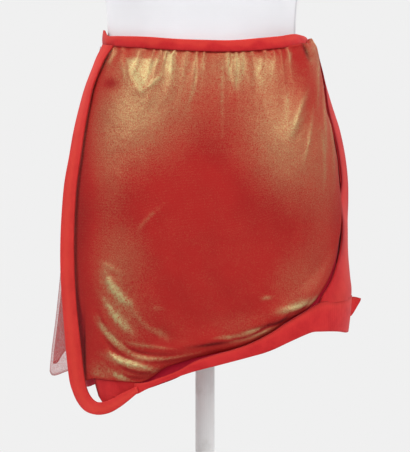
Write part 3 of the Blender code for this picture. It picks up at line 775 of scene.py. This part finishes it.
def facets(rows, x, down, edge=4.0):
    # triangles with soft edges
    total = np.zeros_like(x)
    for x0, down0, x1, down1, x2, down2, strength in rows:
        corners = [(x0, down0), (x1, down1), (x2, down2)]
        inside = np.full_like(x, 1e3)
        for (ax, ay), (bx, by) in zip(corners, corners[1:] + corners[:1]):
            length = math.hypot(bx - ax, by - ay)
            inside = np.minimum(inside, ((bx - ax) * (down - ay) - (by - ay) * (x - ax)) / length)
        total += ease(inside, -edge / 2, edge, strength)
    return total


def patches(rows, x, down):
    # leaning ovals that fade outwards
    total = np.zeros_like(x)
    for centreX, centreDown, halfWidth, halfHeight, lean, strength in rows:
        sine = math.sin(math.radians(lean))
        cosine = math.cos(math.radians(lean))
        aside = ((x - centreX) * cosine + (down - centreDown) * sine) / halfWidth
        along = ((down - centreDown) * cosine - (x - centreX) * sine) / halfHeight
        total += strength * np.exp(-aside**2 - along**2)
    return total


def towardSide(rows, x, down):
    # grows towards the left, -1, or right, 1, of the front view, and down it
    total = np.zeros_like(x)
    for side, fromX, toX, fromDown, toDown, strength in rows:
        total += ease(side * x, fromX, toX, strength) * ease(down, fromDown, toDown)
    return total


def paintFront(across, up, points):
    panel = frontPanel
    x = points[:, 0]
    down = skirtForm["waistHeight"] - points[:, 2]
    top = readLine(skirtForm["panelTops"], panel["edge"] * (2 * across - 1))
    crest = foldRelief(panel["creases"], x, down, 1.5)
    creaseShade = foldRelief(panel["creaseShadeLines"], x, down)
    pleats = gatherRelief(across, panel["gathers"], down - top, 1.0)
    tapeShadow = facets(panel["wedges"], x, down, 3.0)
    foil = panel["foilGround"] + patches(panel["foil"], x, down) + facets(panel["facets"], x, down)
    foil += panel["crestHighlightFoil"] * np.clip(crest, 0, 1.2) + panel["pleatHighlightFoil"] * np.clip(pleats, -1, 1)
    foil -= panel["foilLostInShade"] * (tapeShadow + creaseShade)
    deep = towardSide(panel["shade"], x, down) + patches(panel["shadows"], x, down)
    deep += tapeShadow + panel["lineShade"] * creaseShade
    crushed = towardSide(panel["crushed"], x, down) + ease(down, *panel["crushedTop"])
    olive = towardSide(panel["olive"], x, down)
    return {"foil": foil, "olive": olive, "deep": deep, "crushed": crushed, "paintedGlow": tapeShadow}


hemFacing = {
    "turns": (-88.0, 91.0),
    "start": (-50, -42),       # turns over which it comes out from behind the corner insert
    "startOut": -4.8,
    "rows": [
        # share of the width, distance above the hem, out
        (0, -7.0, -1.8), (0.26, -2.5, -1.9), (0.4, 0.5, -6.8), (1, 16.0, -7.8),
    ],
    "widening": (-50, -40, 2.0),   # from turn, to turn, millimetres at its lower edge
}


def placeFacing(across, up):
    # a strip of the lining inside the hem, dark as painted shade and with a painted glow
    fromTurn, toTurn = hemFacing["turns"]
    turn = fromTurn + (toTurn - fromTurn) * across
    hem = readLine(frontPanel["hem"], turn)
    edge = hem - readLine(frontPanel["edgeLift"], turn)
    (low, lowUp, _), (bend, bendUp, _), *behind = hemFacing["rows"]
    lowDown = hem - lowUp + ease(turn, *hemFacing["widening"])
    stops = [(low, lowDown), (bend, hem - bendUp)] + [(share, edge - rise) for share, rise, out in behind]
    bent = spread(up, [(share, out) for share, rise, out in hemFacing["rows"]])
    startOut = hemFacing["startOut"]
    out = startOut + (bent - startOut) * ease(turn, *hemFacing["start"])
    return clothPoint(turn, spread(up, stops), out)


front = layCloth("frontPanel", placeFront, 250, 176, 1.0, (460, 430), paintFront)
finishPiece(front, "coatedMesh", "coated_mesh", "front_panel")
facing = layCloth("hemFacing", placeFacing, 200, 10, 1.0, (400, 25))
finishPiece(facing, "shadowJersey", "red_jersey")
print("front panel laid")

backPieces = {
    "sideSeam": 91.2,
    "panelRows": [
        # share of the rows, distance below the top
        (0.7, 60.0), (0.9, 14.0),
    ],
    "overlayLeftEdge": 266.0,
    "overlayOut": 4.0,
    "overlayRows": [
        (0.75, 80.0),
    ],
    "roughDown": (400, 14),    # of hem and top, to find the right edge by
    "calmRight": (0, 0.04),    # shares of the width without creases
    "calmLeft": (0.9, 0.97),
    "flareTurn": 26.0,
    "layerTurn": (226.0, 265.0),
    "layerTop": 235.0,
    "layerBehind": 2.6,
    "layerFade": (0.05, 0.75),     # over its width
    "layerFadeUp": (0.5, 0.98),
    "layerEdge": (0.0, 0.012, 0.7),    # share of the length, half width, darkness
    "gathers": 16,
    "gatherHeight": 1.3,
    "overlayHem": [
        # turn, down
        (100, 338.0), (130, 353.0), (180, 380.0), (225, 406.0), (252, 425.0), (262, 427.0), (266, 420.0),
    ],
    "overlayRightEdge": [
        # down, turn
        (0, 111.0), (45, 106.5), (75, 103.5), (110, 102.5), (440, 102.0),
    ],
    "flare": [
        # down, out
        (0, 0.0), (120, 0.5), (200, 3.0), (260, 8.0), (304, 13.0), (330, 17.5), (360, 24.0),
        (390, 31.0), (430, 38.0),
    ],
    "layerHem": [
        # turn, down
        (226, 392.0), (244, 396.0), (256, 399.0), (260, 411.0), (265, 411.0),
    ],
    "folds": [
        # x, down, x, down, x, down, height, half width
        (-110, 20, -106, 70, -98, 150, 1.8, 10.0),
        (-60, 20, -66, 60, -74, 110, -1.4, 9.0),
        (-18, 20, -14, 70, -20, 140, 1.4, 9.0),
        (62, 20, 66, 60, 60, 120, 1.5, 9.0),
        (104, 20, 110, 70, 112, 150, -1.6, 10.0),
        (-40, 380, 40, 360, 120, 320, 1.8, 10.0),
    ],
    "creases": [
        # x, down, x, down, x, down, height, half width
        (-124, 60, -118, 110, -104, 170, 0.8, 3.2),
        (-86, 30, -80, 70, -70, 120, 0.9, 3.0),
        (-36, 24, -40, 60, -38, 100, 0.8, 2.8),
        (6, 24, 12, 80, 10, 150, 0.8, 3.0),
        (40, 26, 44, 60, 38, 104, 0.8, 2.8),
        (84, 30, 88, 80, 80, 136, 0.9, 3.0),
        (-60, 396, -20, 388, 30, 368, 0.9, 3.0),
        (20, 350, 70, 338, 116, 312, 0.9, 3.0),
        (-120, 300, -96, 330, -60, 344, 0.9, 3.4),
        (-110, 352, -84, 372, -44, 378, 0.9, 3.2),
    ],
    "ripples": [
        # length, seed, height
        (36, 1.4, 0.35), (12, 0.7, 0.12),
    ],
    "foil": [
        # x, down, half width, half height, lean in degrees, strength
        (-80, 90, 44, 60, 10, 0.3),
        (80, 90, 44, 60, -10, 0.3),
        (-20, 250, 60, 60, 0, -0.1),
        (30, 360, 60, 16, -15, 0.2),
    ],
    "foilGround": 0.1,
    "bareTail": [
        # side, x from, x to, down from, down to, share of foil lost
        (-1, 140, 160, 180, 260, 0.9),
    ],
    "streak": (-178, 3.5, 0.16),   # x, half width, strength
    "streakStart": (280, 320),
    "streakEnd": (360, 395),
    "whole": 0.62,             # cover of the loose mesh
    "sideEdge": (1.0, 0.0035, 0.8),    # share of the width, half width, darkness
    "hemEdge": (0.0, 0.004, 0.8),  # the same in shares of the length
}


def overlayOut(turn, down):
    loose = stroke(turn, backPieces["overlayLeftEdge"], backPieces["flareTurn"], 1.0)
    return backPieces["overlayOut"] + readLine(backPieces["flare"], down) * loose


def placeOverlay(across, up):
    roughHem, roughTop = backPieces["roughDown"]
    rightEdge = readLine(backPieces["overlayRightEdge"], spread(up, [(0, roughHem), (1, roughTop)]))
    turn = rightEdge + (backPieces["overlayLeftEdge"] - rightEdge) * across
    top = readLine(skirtForm["panelTops"], signedTurn(turn))
    hem = readLine(backPieces["overlayHem"], turn)
    stops = [(share, top + below) for share, below in backPieces["overlayRows"]]
    down = spread(up, [(0, hem)] + stops + [(1, top)])
    creased = creaseRelief(backPieces, across, clothPoint(turn, down, 0)[:, 0], down, down - top)
    creased *= ease(across, *backPieces["calmRight"]) * (1 - ease(across, *backPieces["calmLeft"]))
    return clothPoint(turn, down, creased + overlayOut(turn, down))


def placeOverlayLayer(across, up):
    fromTurn, toTurn = backPieces["layerTurn"]
    turn = fromTurn + (toTurn - fromTurn) * across
    down = spread(up, [(0, readLine(backPieces["layerHem"], turn)), (1, backPieces["layerTop"])])
    return clothPoint(turn, down, overlayOut(turn, down) - backPieces["layerBehind"])


def paintOverlay(across, up, points):
    sizes = backPieces
    x = points[:, 0]
    down = skirtForm["waistHeight"] - points[:, 2]
    streak = ease(down, *sizes["streakStart"]) * (1 - ease(down, *sizes["streakEnd"]))
    streak *= stroke(x, *sizes["streak"])
    foil = sizes["foilGround"] + patches(sizes["foil"], x, down)
    foil *= 1 - towardSide(sizes["bareTail"], x, down)
    edge = stroke(across, *sizes["sideEdge"]) + stroke(up, *sizes["hemEdge"])
    return {"foil": foil + streak, "whole": np.full_like(x, sizes["whole"]), "edge": edge}


def paintLayer(across, up, points):
    shown = paintOverlay(across, up, points)
    shown["whole"] = ease(across, *backPieces["layerFade"]) * (1 - ease(up, *backPieces["layerFadeUp"]))
    shown["edge"] = stroke(up, *backPieces["layerEdge"]) * shown["whole"]
    return shown


hemBands = {
    "crown": 0.5,              # how far the middle of the width stands out
    # painted light over the upper part of the width, painted shade at the top edge under the rolled panel
    "pale": (0.55, 0.95, 0.35),    # share of the width from, to, strength
    "dim": (0.86, 1.0, 0.45),
    "front": [
        # turn, top, bottom, top out, bottom out
        (-47.4, 423.0, 437.0, 0.4, 0.2), (-45.6, 422.4, 435.6, 0.6, 0.4), (-42.0, 421.4, 431.0, 0.8, 0.6),
        (-33.0, 414.5, 422.0, 1.2, 1.0), (-24.0, 407.1, 414.6, 1.6, 1.2),
        (-12.0, 394.5, 406.6, 2.0, 1.2), (2.0, 385.9, 400.0, 2.2, 1.0),
        (16.0, 378.5, 393.3, 2.4, 1.0), (26.0, 371.2, 388.2, 2.4, 1.0),
        (33.0, 364.1, 384.3, 2.4, 1.0), (39.0, 357.1, 379.4, 2.4, 1.2),
        (44.0, 349.5, 374.3, 2.4, 1.2), (49.0, 342.7, 369.2, 2.4, 1.4),
        (54.0, 336.1, 364.4, 2.4, 1.6), (58.0, 330.7, 361.3, 2.4, 1.8),
        (63.0, 325.0, 361.4, 2.6, 2.0), (73.0, 325.2, 363.6, 4.0, 2.2),
        (82.0, 323.6, 367.4, 7.5, 2.6), (90.5, 323.0, 368.6, 10.5, 4.5),
    ],
    "back": [
        # turn, top, bottom, top out, bottom out
        (92.5, 328.0, 369.0, 3.0, 2.0), (110.0, 337.0, 370.0, 0.6, 0.6),
        (150.0, 362.0, 384.0, 0.6, 0.6), (180.0, 377.0, 397.0, 0.6, 0.6),
        (220.0, 394.0, 413.0, 0.6, 0.6), (262.0, 406.0, 425.0, 0.6, 0.6),
    ],
    "tab": [
        # turn, top, bottom, top out, bottom out
        (90.4, 325.0, 350.0, 9.2, 6.0), (92.2, 326.0, 344.0, 17.0, 13.0),
        (92.8, 327.5, 333.0, 22.0, 20.0),
    ],
}


def placeBack(across, up):
    seam = backPieces["sideSeam"]
    turn = seam + (360 - 2 * seam) * across
    top = readLine(skirtForm["panelTops"], signedTurn(turn))
    hem = readLine(hemBands["back"], turn) - frontPanel["hemGap"]
    stops = [(share, top + below) for share, below in backPieces["panelRows"]]
    return clothPoint(turn, spread(up, [(0, hem)] + stops + [(1, top)]), 0)


def bandPlace(rows):
    table = np.array(rows)

    def place(across, up):
        turn = table[0, 0] + (table[-1, 0] - table[0, 0]) * across
        top, bottom, topOut, bottomOut = readRows(rows, turn).T
        down = spread(up, [(0, bottom), (1, top)])
        out = spread(up, [(0, bottomOut), (1, topOut)]) + hemBands["crown"] * np.sin(np.pi * up)
        return clothPoint(turn, down, out)
    return place


def paintBand(across, up, points):
    return {"pale": ease(up, *hemBands["pale"]), "dim": ease(up, *hemBands["dim"])}


back = layCloth("backPanel", placeBack, 96, 60, 1.5, (480, 400))
finishPiece(back, "bodyJersey", "red_jersey", "back_panel")
overlay = layCloth("backOverlay", placeOverlay, 200, 116, 0.8, (480, 400), paintOverlay)
finishPiece(overlay, "looseMesh", "coated_mesh", "back_overlay")
layer = layCloth("overlayLayer", placeOverlayLayer, 60, 70, 0.8, (110, 170), paintLayer)
finishPiece(layer, "looseMesh", "coated_mesh", "overlay_layer")
print("back laid")

for name, rows, columns, node, size, area in [
    ("hemBandFront", hemBands["front"], 200, "hem_band_front", (0.347, 0.046), 0.0084),
    ("hemBandBack", hemBands["back"], 180, "hem_band_back", (0.43, 0.041), 0.0112),
    ("hemTab", hemBands["tab"], 14, "hem_tab", (0.015, 0.025), 0.00035),
]:
    cutSize = (size[0] / millimetre, size[1] / millimetre)
    band = layCloth(name, bandPlace(rows), columns, 12, 2.2, cutSize, paintBand)
    finishPiece(band, "tapeJersey", "red_tape", node)

waistband = {
    "round": 0.6,
    "flush": 1.5,              # how far the lower edge lies in towards the panel
    "flushStop": (40, 60),     # turns
    "flushStart": (-150, -110),
    "puckers": 44,
    "puckerHeight": 0.35,
    # painted light over its upper part along a wavy line, painted shade towards its lower edge and a little
    # all over
    "pale": (0.35, 0.75, 0.5),     # share of the width from, to, strength
    "paleWander": [
        # waves round the band, their start, share of the width
        (70, 0.0, 0.14), (131, 1.0, 0.1),
    ],
    "dim": (0.3, 0.0, 0.3),
    "dimGround": 0.08,
    "edges": [
        # turn, top, bottom, out
        (-180, 1.0, 14.0, 2.0), (-120, 0.0, 13.0, 2.0), (-92, -2.5, 11.5, 2.0), (-84, -8.5, 10.5, 2.0),
        (-76, -2.6, 10.5, 2.2), (-63, -1.7, 11.4, 2.2), (-47, -1.3, 13.0, 2.2), (-21, 1.6, 15.6, 2.2),
        (-2, 2.6, 16.8, 2.2), (20, 2.9, 16.8, 2.2), (38, 0.5, 15.0, 2.0), (53, -1.8, 12.2, 0.6),
        (66, -4.1, 9.4, -3.6), (76, -2.0, 10.0, -5.2), (90, 1.0, 13.0, -5.2), (108, 1.5, 13.6, -4.8),
        (120, 1.5, 13.8, -2.0), (144, 1.5, 14.0, 2.0), (180, 1.0, 14.0, 2.0),
    ],
}


def placeWaistband(across, up):
    turn = 360 * across - 180
    top, bottom, out = readRows(waistband["edges"], turn).T
    lower = (1 - up)**2
    around = 2 * np.pi * waistband["puckers"] * across + 3 * np.sin(9 * across)
    pulled = waistband["puckerHeight"] * np.cos(around) * lower
    away = ease(turn, *waistband["flushStop"]) * ease(-turn, *waistband["flushStart"])
    flush = waistband["flush"] * lower * (1 - away)
    rounded = waistband["round"] * np.sin(np.pi * up)
    return clothPoint(turn, spread(up, [(0, bottom), (1, top)]), out + rounded + pulled - flush)


def paintWaistband(across, up, points):
    paleLine = up + wander(across, waistband["paleWander"])
    dim = waistband["dimGround"] + ease(up, *waistband["dim"])
    return {"pale": ease(paleLine, *waistband["pale"]), "dim": dim}


bandPiece = layCloth("waistBand", placeWaistband, 400, 10, 2.2, (700, 14), paintWaistband)
finishPiece(bandPiece, "tapeJersey", "red_tape", "waistband")

sideTapes = {
    "crown": 0.35,
    # painted light and shade: paler along the middle of the width, the left tape paler all over, the right
    # tape darker all over and in the panel's shadow
    "pale": (0.45, 0.25, 0.4),     # share of the width, half width, strength
    "leftPale": 0.25,
    "rightDim": 0.12,
    "rightShadow": (0.0, 0.13, 0.7),   # the panel's, across the width
    "rightShadowUp": (0.12, 0.4),
    "left": [
        # station, left turn, left down, left out, right turn, right down, right out
        (0, -77.0, 9.0, 5.6, -67.0, 10.0, 3.8), (1, -80.0, 28.0, 7.5, -71.5, 28.0, 4.8),
        (2, -81.0, 58.0, 7.6, -73.0, 58.0, 5.0), (3, -80.2, 90.0, 9.8, -72.6, 90.0, 5.0),
        (4, -79.2, 131.0, 12.2, -72.8, 131.0, 5.0), (5, -79.4, 177.0, 14.8, -73.9, 176.0, 5.0),
        (6, -79.9, 225.0, 16.2, -74.8, 225.0, 5.0), (7, -80.0, 280.0, 17.6, -75.3, 280.0, 5.0),
        (8, -80.6, 340.0, 18.0, -75.7, 340.0, 5.0), (9, -79.8, 387.0, 20.0, -75.4, 385.0, 5.0),
        (10, -79.6, 423.0, 19.0, -74.8, 418.0, 5.0), (11, -78.6, 439.0, 17.0, -73.4, 434.0, 5.0),
        (12, -77.3, 452.0, 13.5, -71.3, 443.0, 5.0), (13, -73.5, 462.0, 10.0, -68.2, 448.5, 5.0),
        (14, -66.8, 465.0, 8.0, -64.6, 449.0, 5.0), (15, -61.0, 462.0, 6.0, -60.7, 446.0, 4.5),
        (16, -56.0, 455.0, 4.4, -56.9, 441.0, 4.0), (17, -51.2, 446.0, 3.6, -52.6, 434.5, 3.5),
        (18, -45.2, 434.0, 3.4, -46.2, 427.0, 3.6),
    ],
    "right": [
        # station, left turn, left down, left out, right turn, right down, right out
        (0, 97.0, 6.0, 1.0, 104.0, 8.0, 1.0), (1, 96.0, 45.0, 3.6, 102.5, 45.0, 4.6),
        (2, 93.0, 75.0, 2.0, 100.0, 75.0, 8.4), (3, 91.6, 105.0, 1.0, 98.6, 105.0, 10.6),
        (4, 91.2, 150.0, 1.0, 97.6, 150.0, 10.6), (5, 91.0, 180.0, 1.0, 97.8, 180.0, 11.2),
        (6, 88.6, 202.0, -3.4, 98.0, 204.0, 10.2), (7, 85.4, 216.0, -1.6, 97.8, 222.0, 9.2),
        (8, 82.0, 234.0, 1.4, 97.4, 240.0, 8.8), (9, 79.6, 253.0, 2.4, 97.0, 258.0, 8.6),
        (10, 75.6, 275.0, 2.4, 96.0, 278.0, 8.8), (11, 69.6, 300.5, 2.4, 94.0, 300.0, 9.6),
        (12, 64.4, 316.0, 2.4, 92.2, 314.0, 10.4), (13, 62.6, 327.4, 1.4, 91.0, 325.4, 9.6),
    ],
}


def tapePlace(rows):
    def place(across, up):
        edges = readRows(rows, (1 - up) * rows[-1][0])
        leftEdge = edges[:, :3]
        rightEdge = edges[:, 3:]
        turn, down, out = (leftEdge + (rightEdge - leftEdge) * across[:, None]).T
        return clothPoint(turn, down, out + sideTapes["crown"] * np.sin(np.pi * across))
    return place


def paintTape(across, up, points):
    sizes = sideTapes
    right = points[:, 0] > 0
    shadow = stroke(across, *sizes["rightShadow"]) * ease(up, *sizes["rightShadowUp"])
    pale = np.where(right, 0.0, sizes["leftPale"]) + stroke(across, *sizes["pale"])
    return {"pale": pale, "dim": np.where(right, sizes["rightDim"] + shadow, 0.0)}


for name, rows, columns, cuts, node, size, area in [
    ("sideTapeLeft", sideTapes["left"], 14, 240, "side_tape_left", (0.022, 0.54), None),
    ("sideTapeRight", sideTapes["right"], 18, 200, "side_tape_right", (0.086, 0.335), 0.0124),
]:
    cutSize = (size[0] / millimetre, size[1] / millimetre)
    tape = layCloth(name, tapePlace(rows), columns, cuts, 2.2, cutSize, paintTape)
    finishPiece(tape, "tapeJersey", "red_tape", node)

cornerInsert = {
    "out": -2.2,
    "slant": 4.0,              # how far its left edge turns in, down its length
    "dimGround": 0.14,
    "loopEdge": (0.0, 0.07, 0.85),     # share of the width, half width, darkness of the painted shade inside the loop
    "underPanel": (0.62, 0.8, 0.5),    # share of the length from, to, darkness of the painted shade under the panel
    "seam": (593.0, 1.3, 0.5),     # height, half width, darkness
    "seamSlope": 0.04,
    "seamStart": (0.35, 0.5),
    "edges": [
        # turn, top, bottom
        (-72.6, 410.0, 443.0), (-69.0, 410.0, 452.0), (-61.0, 410.0, 450.0), (-57.0, 410.0, 446.0),
        (-52.5, 410.0, 439.0), (-48.5, 409.0, 432.5), (-46.0, 408.0, 430.0),
    ],
    "folds": [
        # x, down, x, down, x, down, height, half width
        (-120, 440, -108, 444, -92, 445, 0.9, 3.0),
        (-116, 452, -106, 455, -96, 456, -0.8, 3.0),
    ],
}


def placeInsert(across, up):
    edges = cornerInsert["edges"]
    turn = edges[0][0] + (edges[-1][0] - edges[0][0]) * across
    top, bottom = readRows(edges, turn).T
    down = spread(up, [(0, bottom), (1, top)])
    turn = turn + cornerInsert["slant"] * (1 - up) * (1 - across)
    x = clothPoint(turn, down, 0)[:, 0]
    return clothPoint(turn, down, cornerInsert["out"] + foldRelief(cornerInsert["folds"], x, down))


def paintInsert(across, up, points):
    sizes = cornerInsert
    height = points[:, 2] + sizes["seamSlope"] * points[:, 0]
    seam = stroke(height, *sizes["seam"]) * ease(across, *sizes["seamStart"])
    edges = stroke(across, *sizes["loopEdge"]) + ease(up, *sizes["underPanel"])
    return {"dim": sizes["dimGround"] + edges + seam}


insert = layCloth("cornerInsert", placeInsert, 60, 44, 1.5, (60, 42), paintInsert)
finishPiece(insert, "tapeJersey", "red_jersey", "corner_insert")
print("tapes and bands laid")

# the form that wears the skirt, from under the hem up to its neck
dressForm = {
    "centreX": -4.0,
    "columns": 112,
    "rings": 150,
    "sections": [
        # height over the waist, half width, front, back
        (-322, 155.5, 100, 117), (-270, 158.0, 102, 120), (-210, 157.0, 104, 124), (-150, 151.0, 104, 121),
        (-90, 140.5, 101, 110), (-60, 133.5, 96, 101), (-30, 121.5, 88, 90), (-12, 117.4, 84, 84),
        (0, 117.0, 82, 82), (50, 120.0, 84, 84), (100, 128.0, 91, 92), (150, 138.0, 107, 98),
        (190, 145.0, 118, 101), (230, 150.0, 112, 104), (270, 158.0, 97, 104), (310, 163.0, 83, 98),
        (340, 152.0, 72, 88), (362, 118.0, 62, 74), (382, 78.0, 54, 61), (405, 58.0, 51, 54),
        (450, 50.0, 50, 50),
    ],
    "seams": (80.0, -99.0, 171.0),     # turns
    "seamWidth": 0.9,
}


def makeTorso():
    sizes = dressForm
    work = bmesh.new()
    bmesh.ops.create_cone(work, cap_ends=True, segments=sizes["columns"], radius1=1, radius2=1, depth=1)
    uprights = [edge for edge in work.edges if abs(edge.verts[0].co.z - edge.verts[1].co.z) > 0.5]
    bmesh.ops.subdivide_edges(work, edges=uprights, cuts=sizes["rings"] - 1)
    sections = np.array(sizes["sections"], dtype=float)
    path = np.append(0, np.hypot(np.diff(sections[:, 0]), np.diff(sections[:, 1])).cumsum())
    flat = np.array([vert.co[:] for vert in work.verts])
    turn = np.degrees(np.arctan2(flat[:, 0], -flat[:, 1]))
    height = np.interp((flat[:, 2] + 0.5) * path[-1], path, sections[:, 0])
    half, ahead, behind = readRows(sections, height).T
    x, y, *_ = levelPoint(turn, half - sizes["centreX"], half + sizes["centreX"], ahead, behind)
    for vert, across, back, up in zip(work.verts, x, y, height):
        vert.co = Vector((across, back, skirtForm["waistHeight"] + up)) * millimetre
    mesh = bpy.data.meshes.new("formTorso")
    work.to_mesh(mesh)
    work.free()
    gaps = np.min([np.abs(signedTurn(turn - seam)) for seam in sizes["seams"]], axis=0)
    layer = mesh.attributes.new("seam", "FLOAT", "POINT")
    layer.data.foreach_set("value", stroke(gaps, 0, sizes["seamWidth"], 1.0).astype(np.float32))
    return bpy.data.objects.new("formTorso", mesh)


torso = makeTorso()
finishPiece(torso, "formCover", "form_cover", "form_torso")

for node, finishName in [("neck_cap", "capPaint"), ("form_pole", "polePaint"),
                         ("pole_flange", "polePaint"), ("base_plate", "polePaint")]:
    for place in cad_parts[node].material_slots:
        place.material = finishes[finishName]
print("form and stand finished")

studio = {
    "backdrop": tint(240, 240, 240),
    "floor": (tint(236, 236, 236), tint(226, 226, 226)),
    "floorGrain": 160.0,
    "floorRadius": 3.0,
    "floorFade": (1.2, 2.9),   # distance from, to, over which it fades into the backdrop
    "floorDrop": 0.5,          # millimetres under the base
    "airStrength": (0.36, 0.66),   # in front, behind
    "cameraDistance": 4.0,
    "cameraElevation": 4.0,
    "target": (0, 0, 0.804),
    "lens": 254.9,
    "sensorWidth": 36.0,
    "clip": (0.1, 60.0),
    "lights": [
        # name, azimuth, elevation, distance, width, height, watts
        ("leftSoftbox", -56, 30, 2.4, 0.8, 1.0, 18),
        ("rightSoftbox", 54, 32, 2.4, 0.8, 1.0, 18),
        ("topSoftbox", 0, 68, 2.4, 1.6, 1.0, 12),
        ("frontFill", 4, 20, 3.6, 1.6, 1.6, 8),
        ("backLeft", -140, 30, 3.0, 1.2, 1.2, 16),
        ("backRight", 140, 30, 3.0, 1.2, 1.2, 16),
    ],
}


def aroundSkirt(azimuth, elevation, distance):
    across = math.radians(azimuth)
    above = math.radians(elevation)
    away = Vector((math.sin(across) * math.cos(above), -math.cos(across) * math.cos(above), math.sin(above)))
    return Vector(studio["target"]) + away * distance, away


def addLight(name, azimuth, elevation, distance, width, height, watts):
    lamp = bpy.data.lights.new(name, "AREA")
    lamp.shape = "RECTANGLE"
    lamp.size = width
    lamp.size_y = height
    lamp.energy = watts
    light = bpy.data.objects.new(name, lamp)
    light.location, away = aroundSkirt(azimuth, elevation, distance)
    light.rotation_euler = away.to_track_quat("Z", "Y").to_euler()
    light.visible_camera = False
    bpy.context.scene.collection.objects.link(light)


for row in studio["lights"]:
    addLight(*row)

world = bpy.data.worlds.new("studioAir")
world.use_nodes = True
bpy.context.scene.world = world
air = Nodes(world.node_tree)
toward = air.node("ShaderNodeTexCoord", output="Generated")
backward = air.node("ShaderNodeSeparateXYZ", None, {0: toward}, "Y")
airFront, airBehind = studio["airStrength"]
strength = air.node("ShaderNodeMapRange", None,
                    {"Value": backward, "From Min": -1.0, "To Min": airFront, "To Max": airBehind})
white = (1, 1, 1, 1)
lit = air.node("ShaderNodeBackground", None, {"Color": white, "Strength": strength})
seen = air.node("ShaderNodeBackground", None, {"Color": studio["backdrop"]})
cameraRay = air.node("ShaderNodeLightPath", output="Is Camera Ray")
either = air.node("ShaderNodeMixShader", None, {0: cameraRay, 1: lit, 2: seen})
air.feed(air.tree.nodes["World Output"].inputs["Surface"], either)
air.tree.nodes.remove(air.tree.nodes["Background"])


def makeFloor():
    finish = Finish("paleFloor", Roughness=0.7)
    spot = finish.place()
    grain = finish.noise(spot, studio["floorGrain"], 3.0, 0.6)
    finish.shade("Base Color", finish.blend(grain, *studio["floor"]))
    finish.shade("Normal", finish.relief(grain, 0.0004, 0.1))
    fromCentre = finish.node("ShaderNodeVectorMath", {"operation": "LENGTH"}, {0: spot}, "Value")
    finish.shade("Alpha", finish.soften(fromCentre, *studio["floorFade"], 1.0, 0.0))
    work = bmesh.new()
    bmesh.ops.create_circle(work, cap_ends=True, segments=128, radius=studio["floorRadius"],
                            matrix=Matrix.Translation((0, 0, -studio["floorDrop"] * millimetre)))
    mesh = bpy.data.meshes.new("floor")
    work.to_mesh(mesh)
    work.free()
    mesh.materials.append(finish.material)
    return bpy.data.objects.new("floor", mesh)


floor = makeFloor()
bpy.context.scene.collection.objects.link(floor)

lens = bpy.data.cameras.new("photoCamera")
lens.lens = studio["lens"]
lens.sensor_width = studio["sensorWidth"]
lens.clip_start, lens.clip_end = studio["clip"]
camera = bpy.data.objects.new("photoCamera", lens)
camera.location, cameraAway = aroundSkirt(0, studio["cameraElevation"], studio["cameraDistance"])
camera.rotation_euler = cameraAway.to_track_quat("Z", "Y").to_euler()
bpy.context.scene.collection.objects.link(camera)
bpy.context.scene.camera = camera
bpy.context.scene.view_settings.view_transform = "Standard"

print("scene ready")
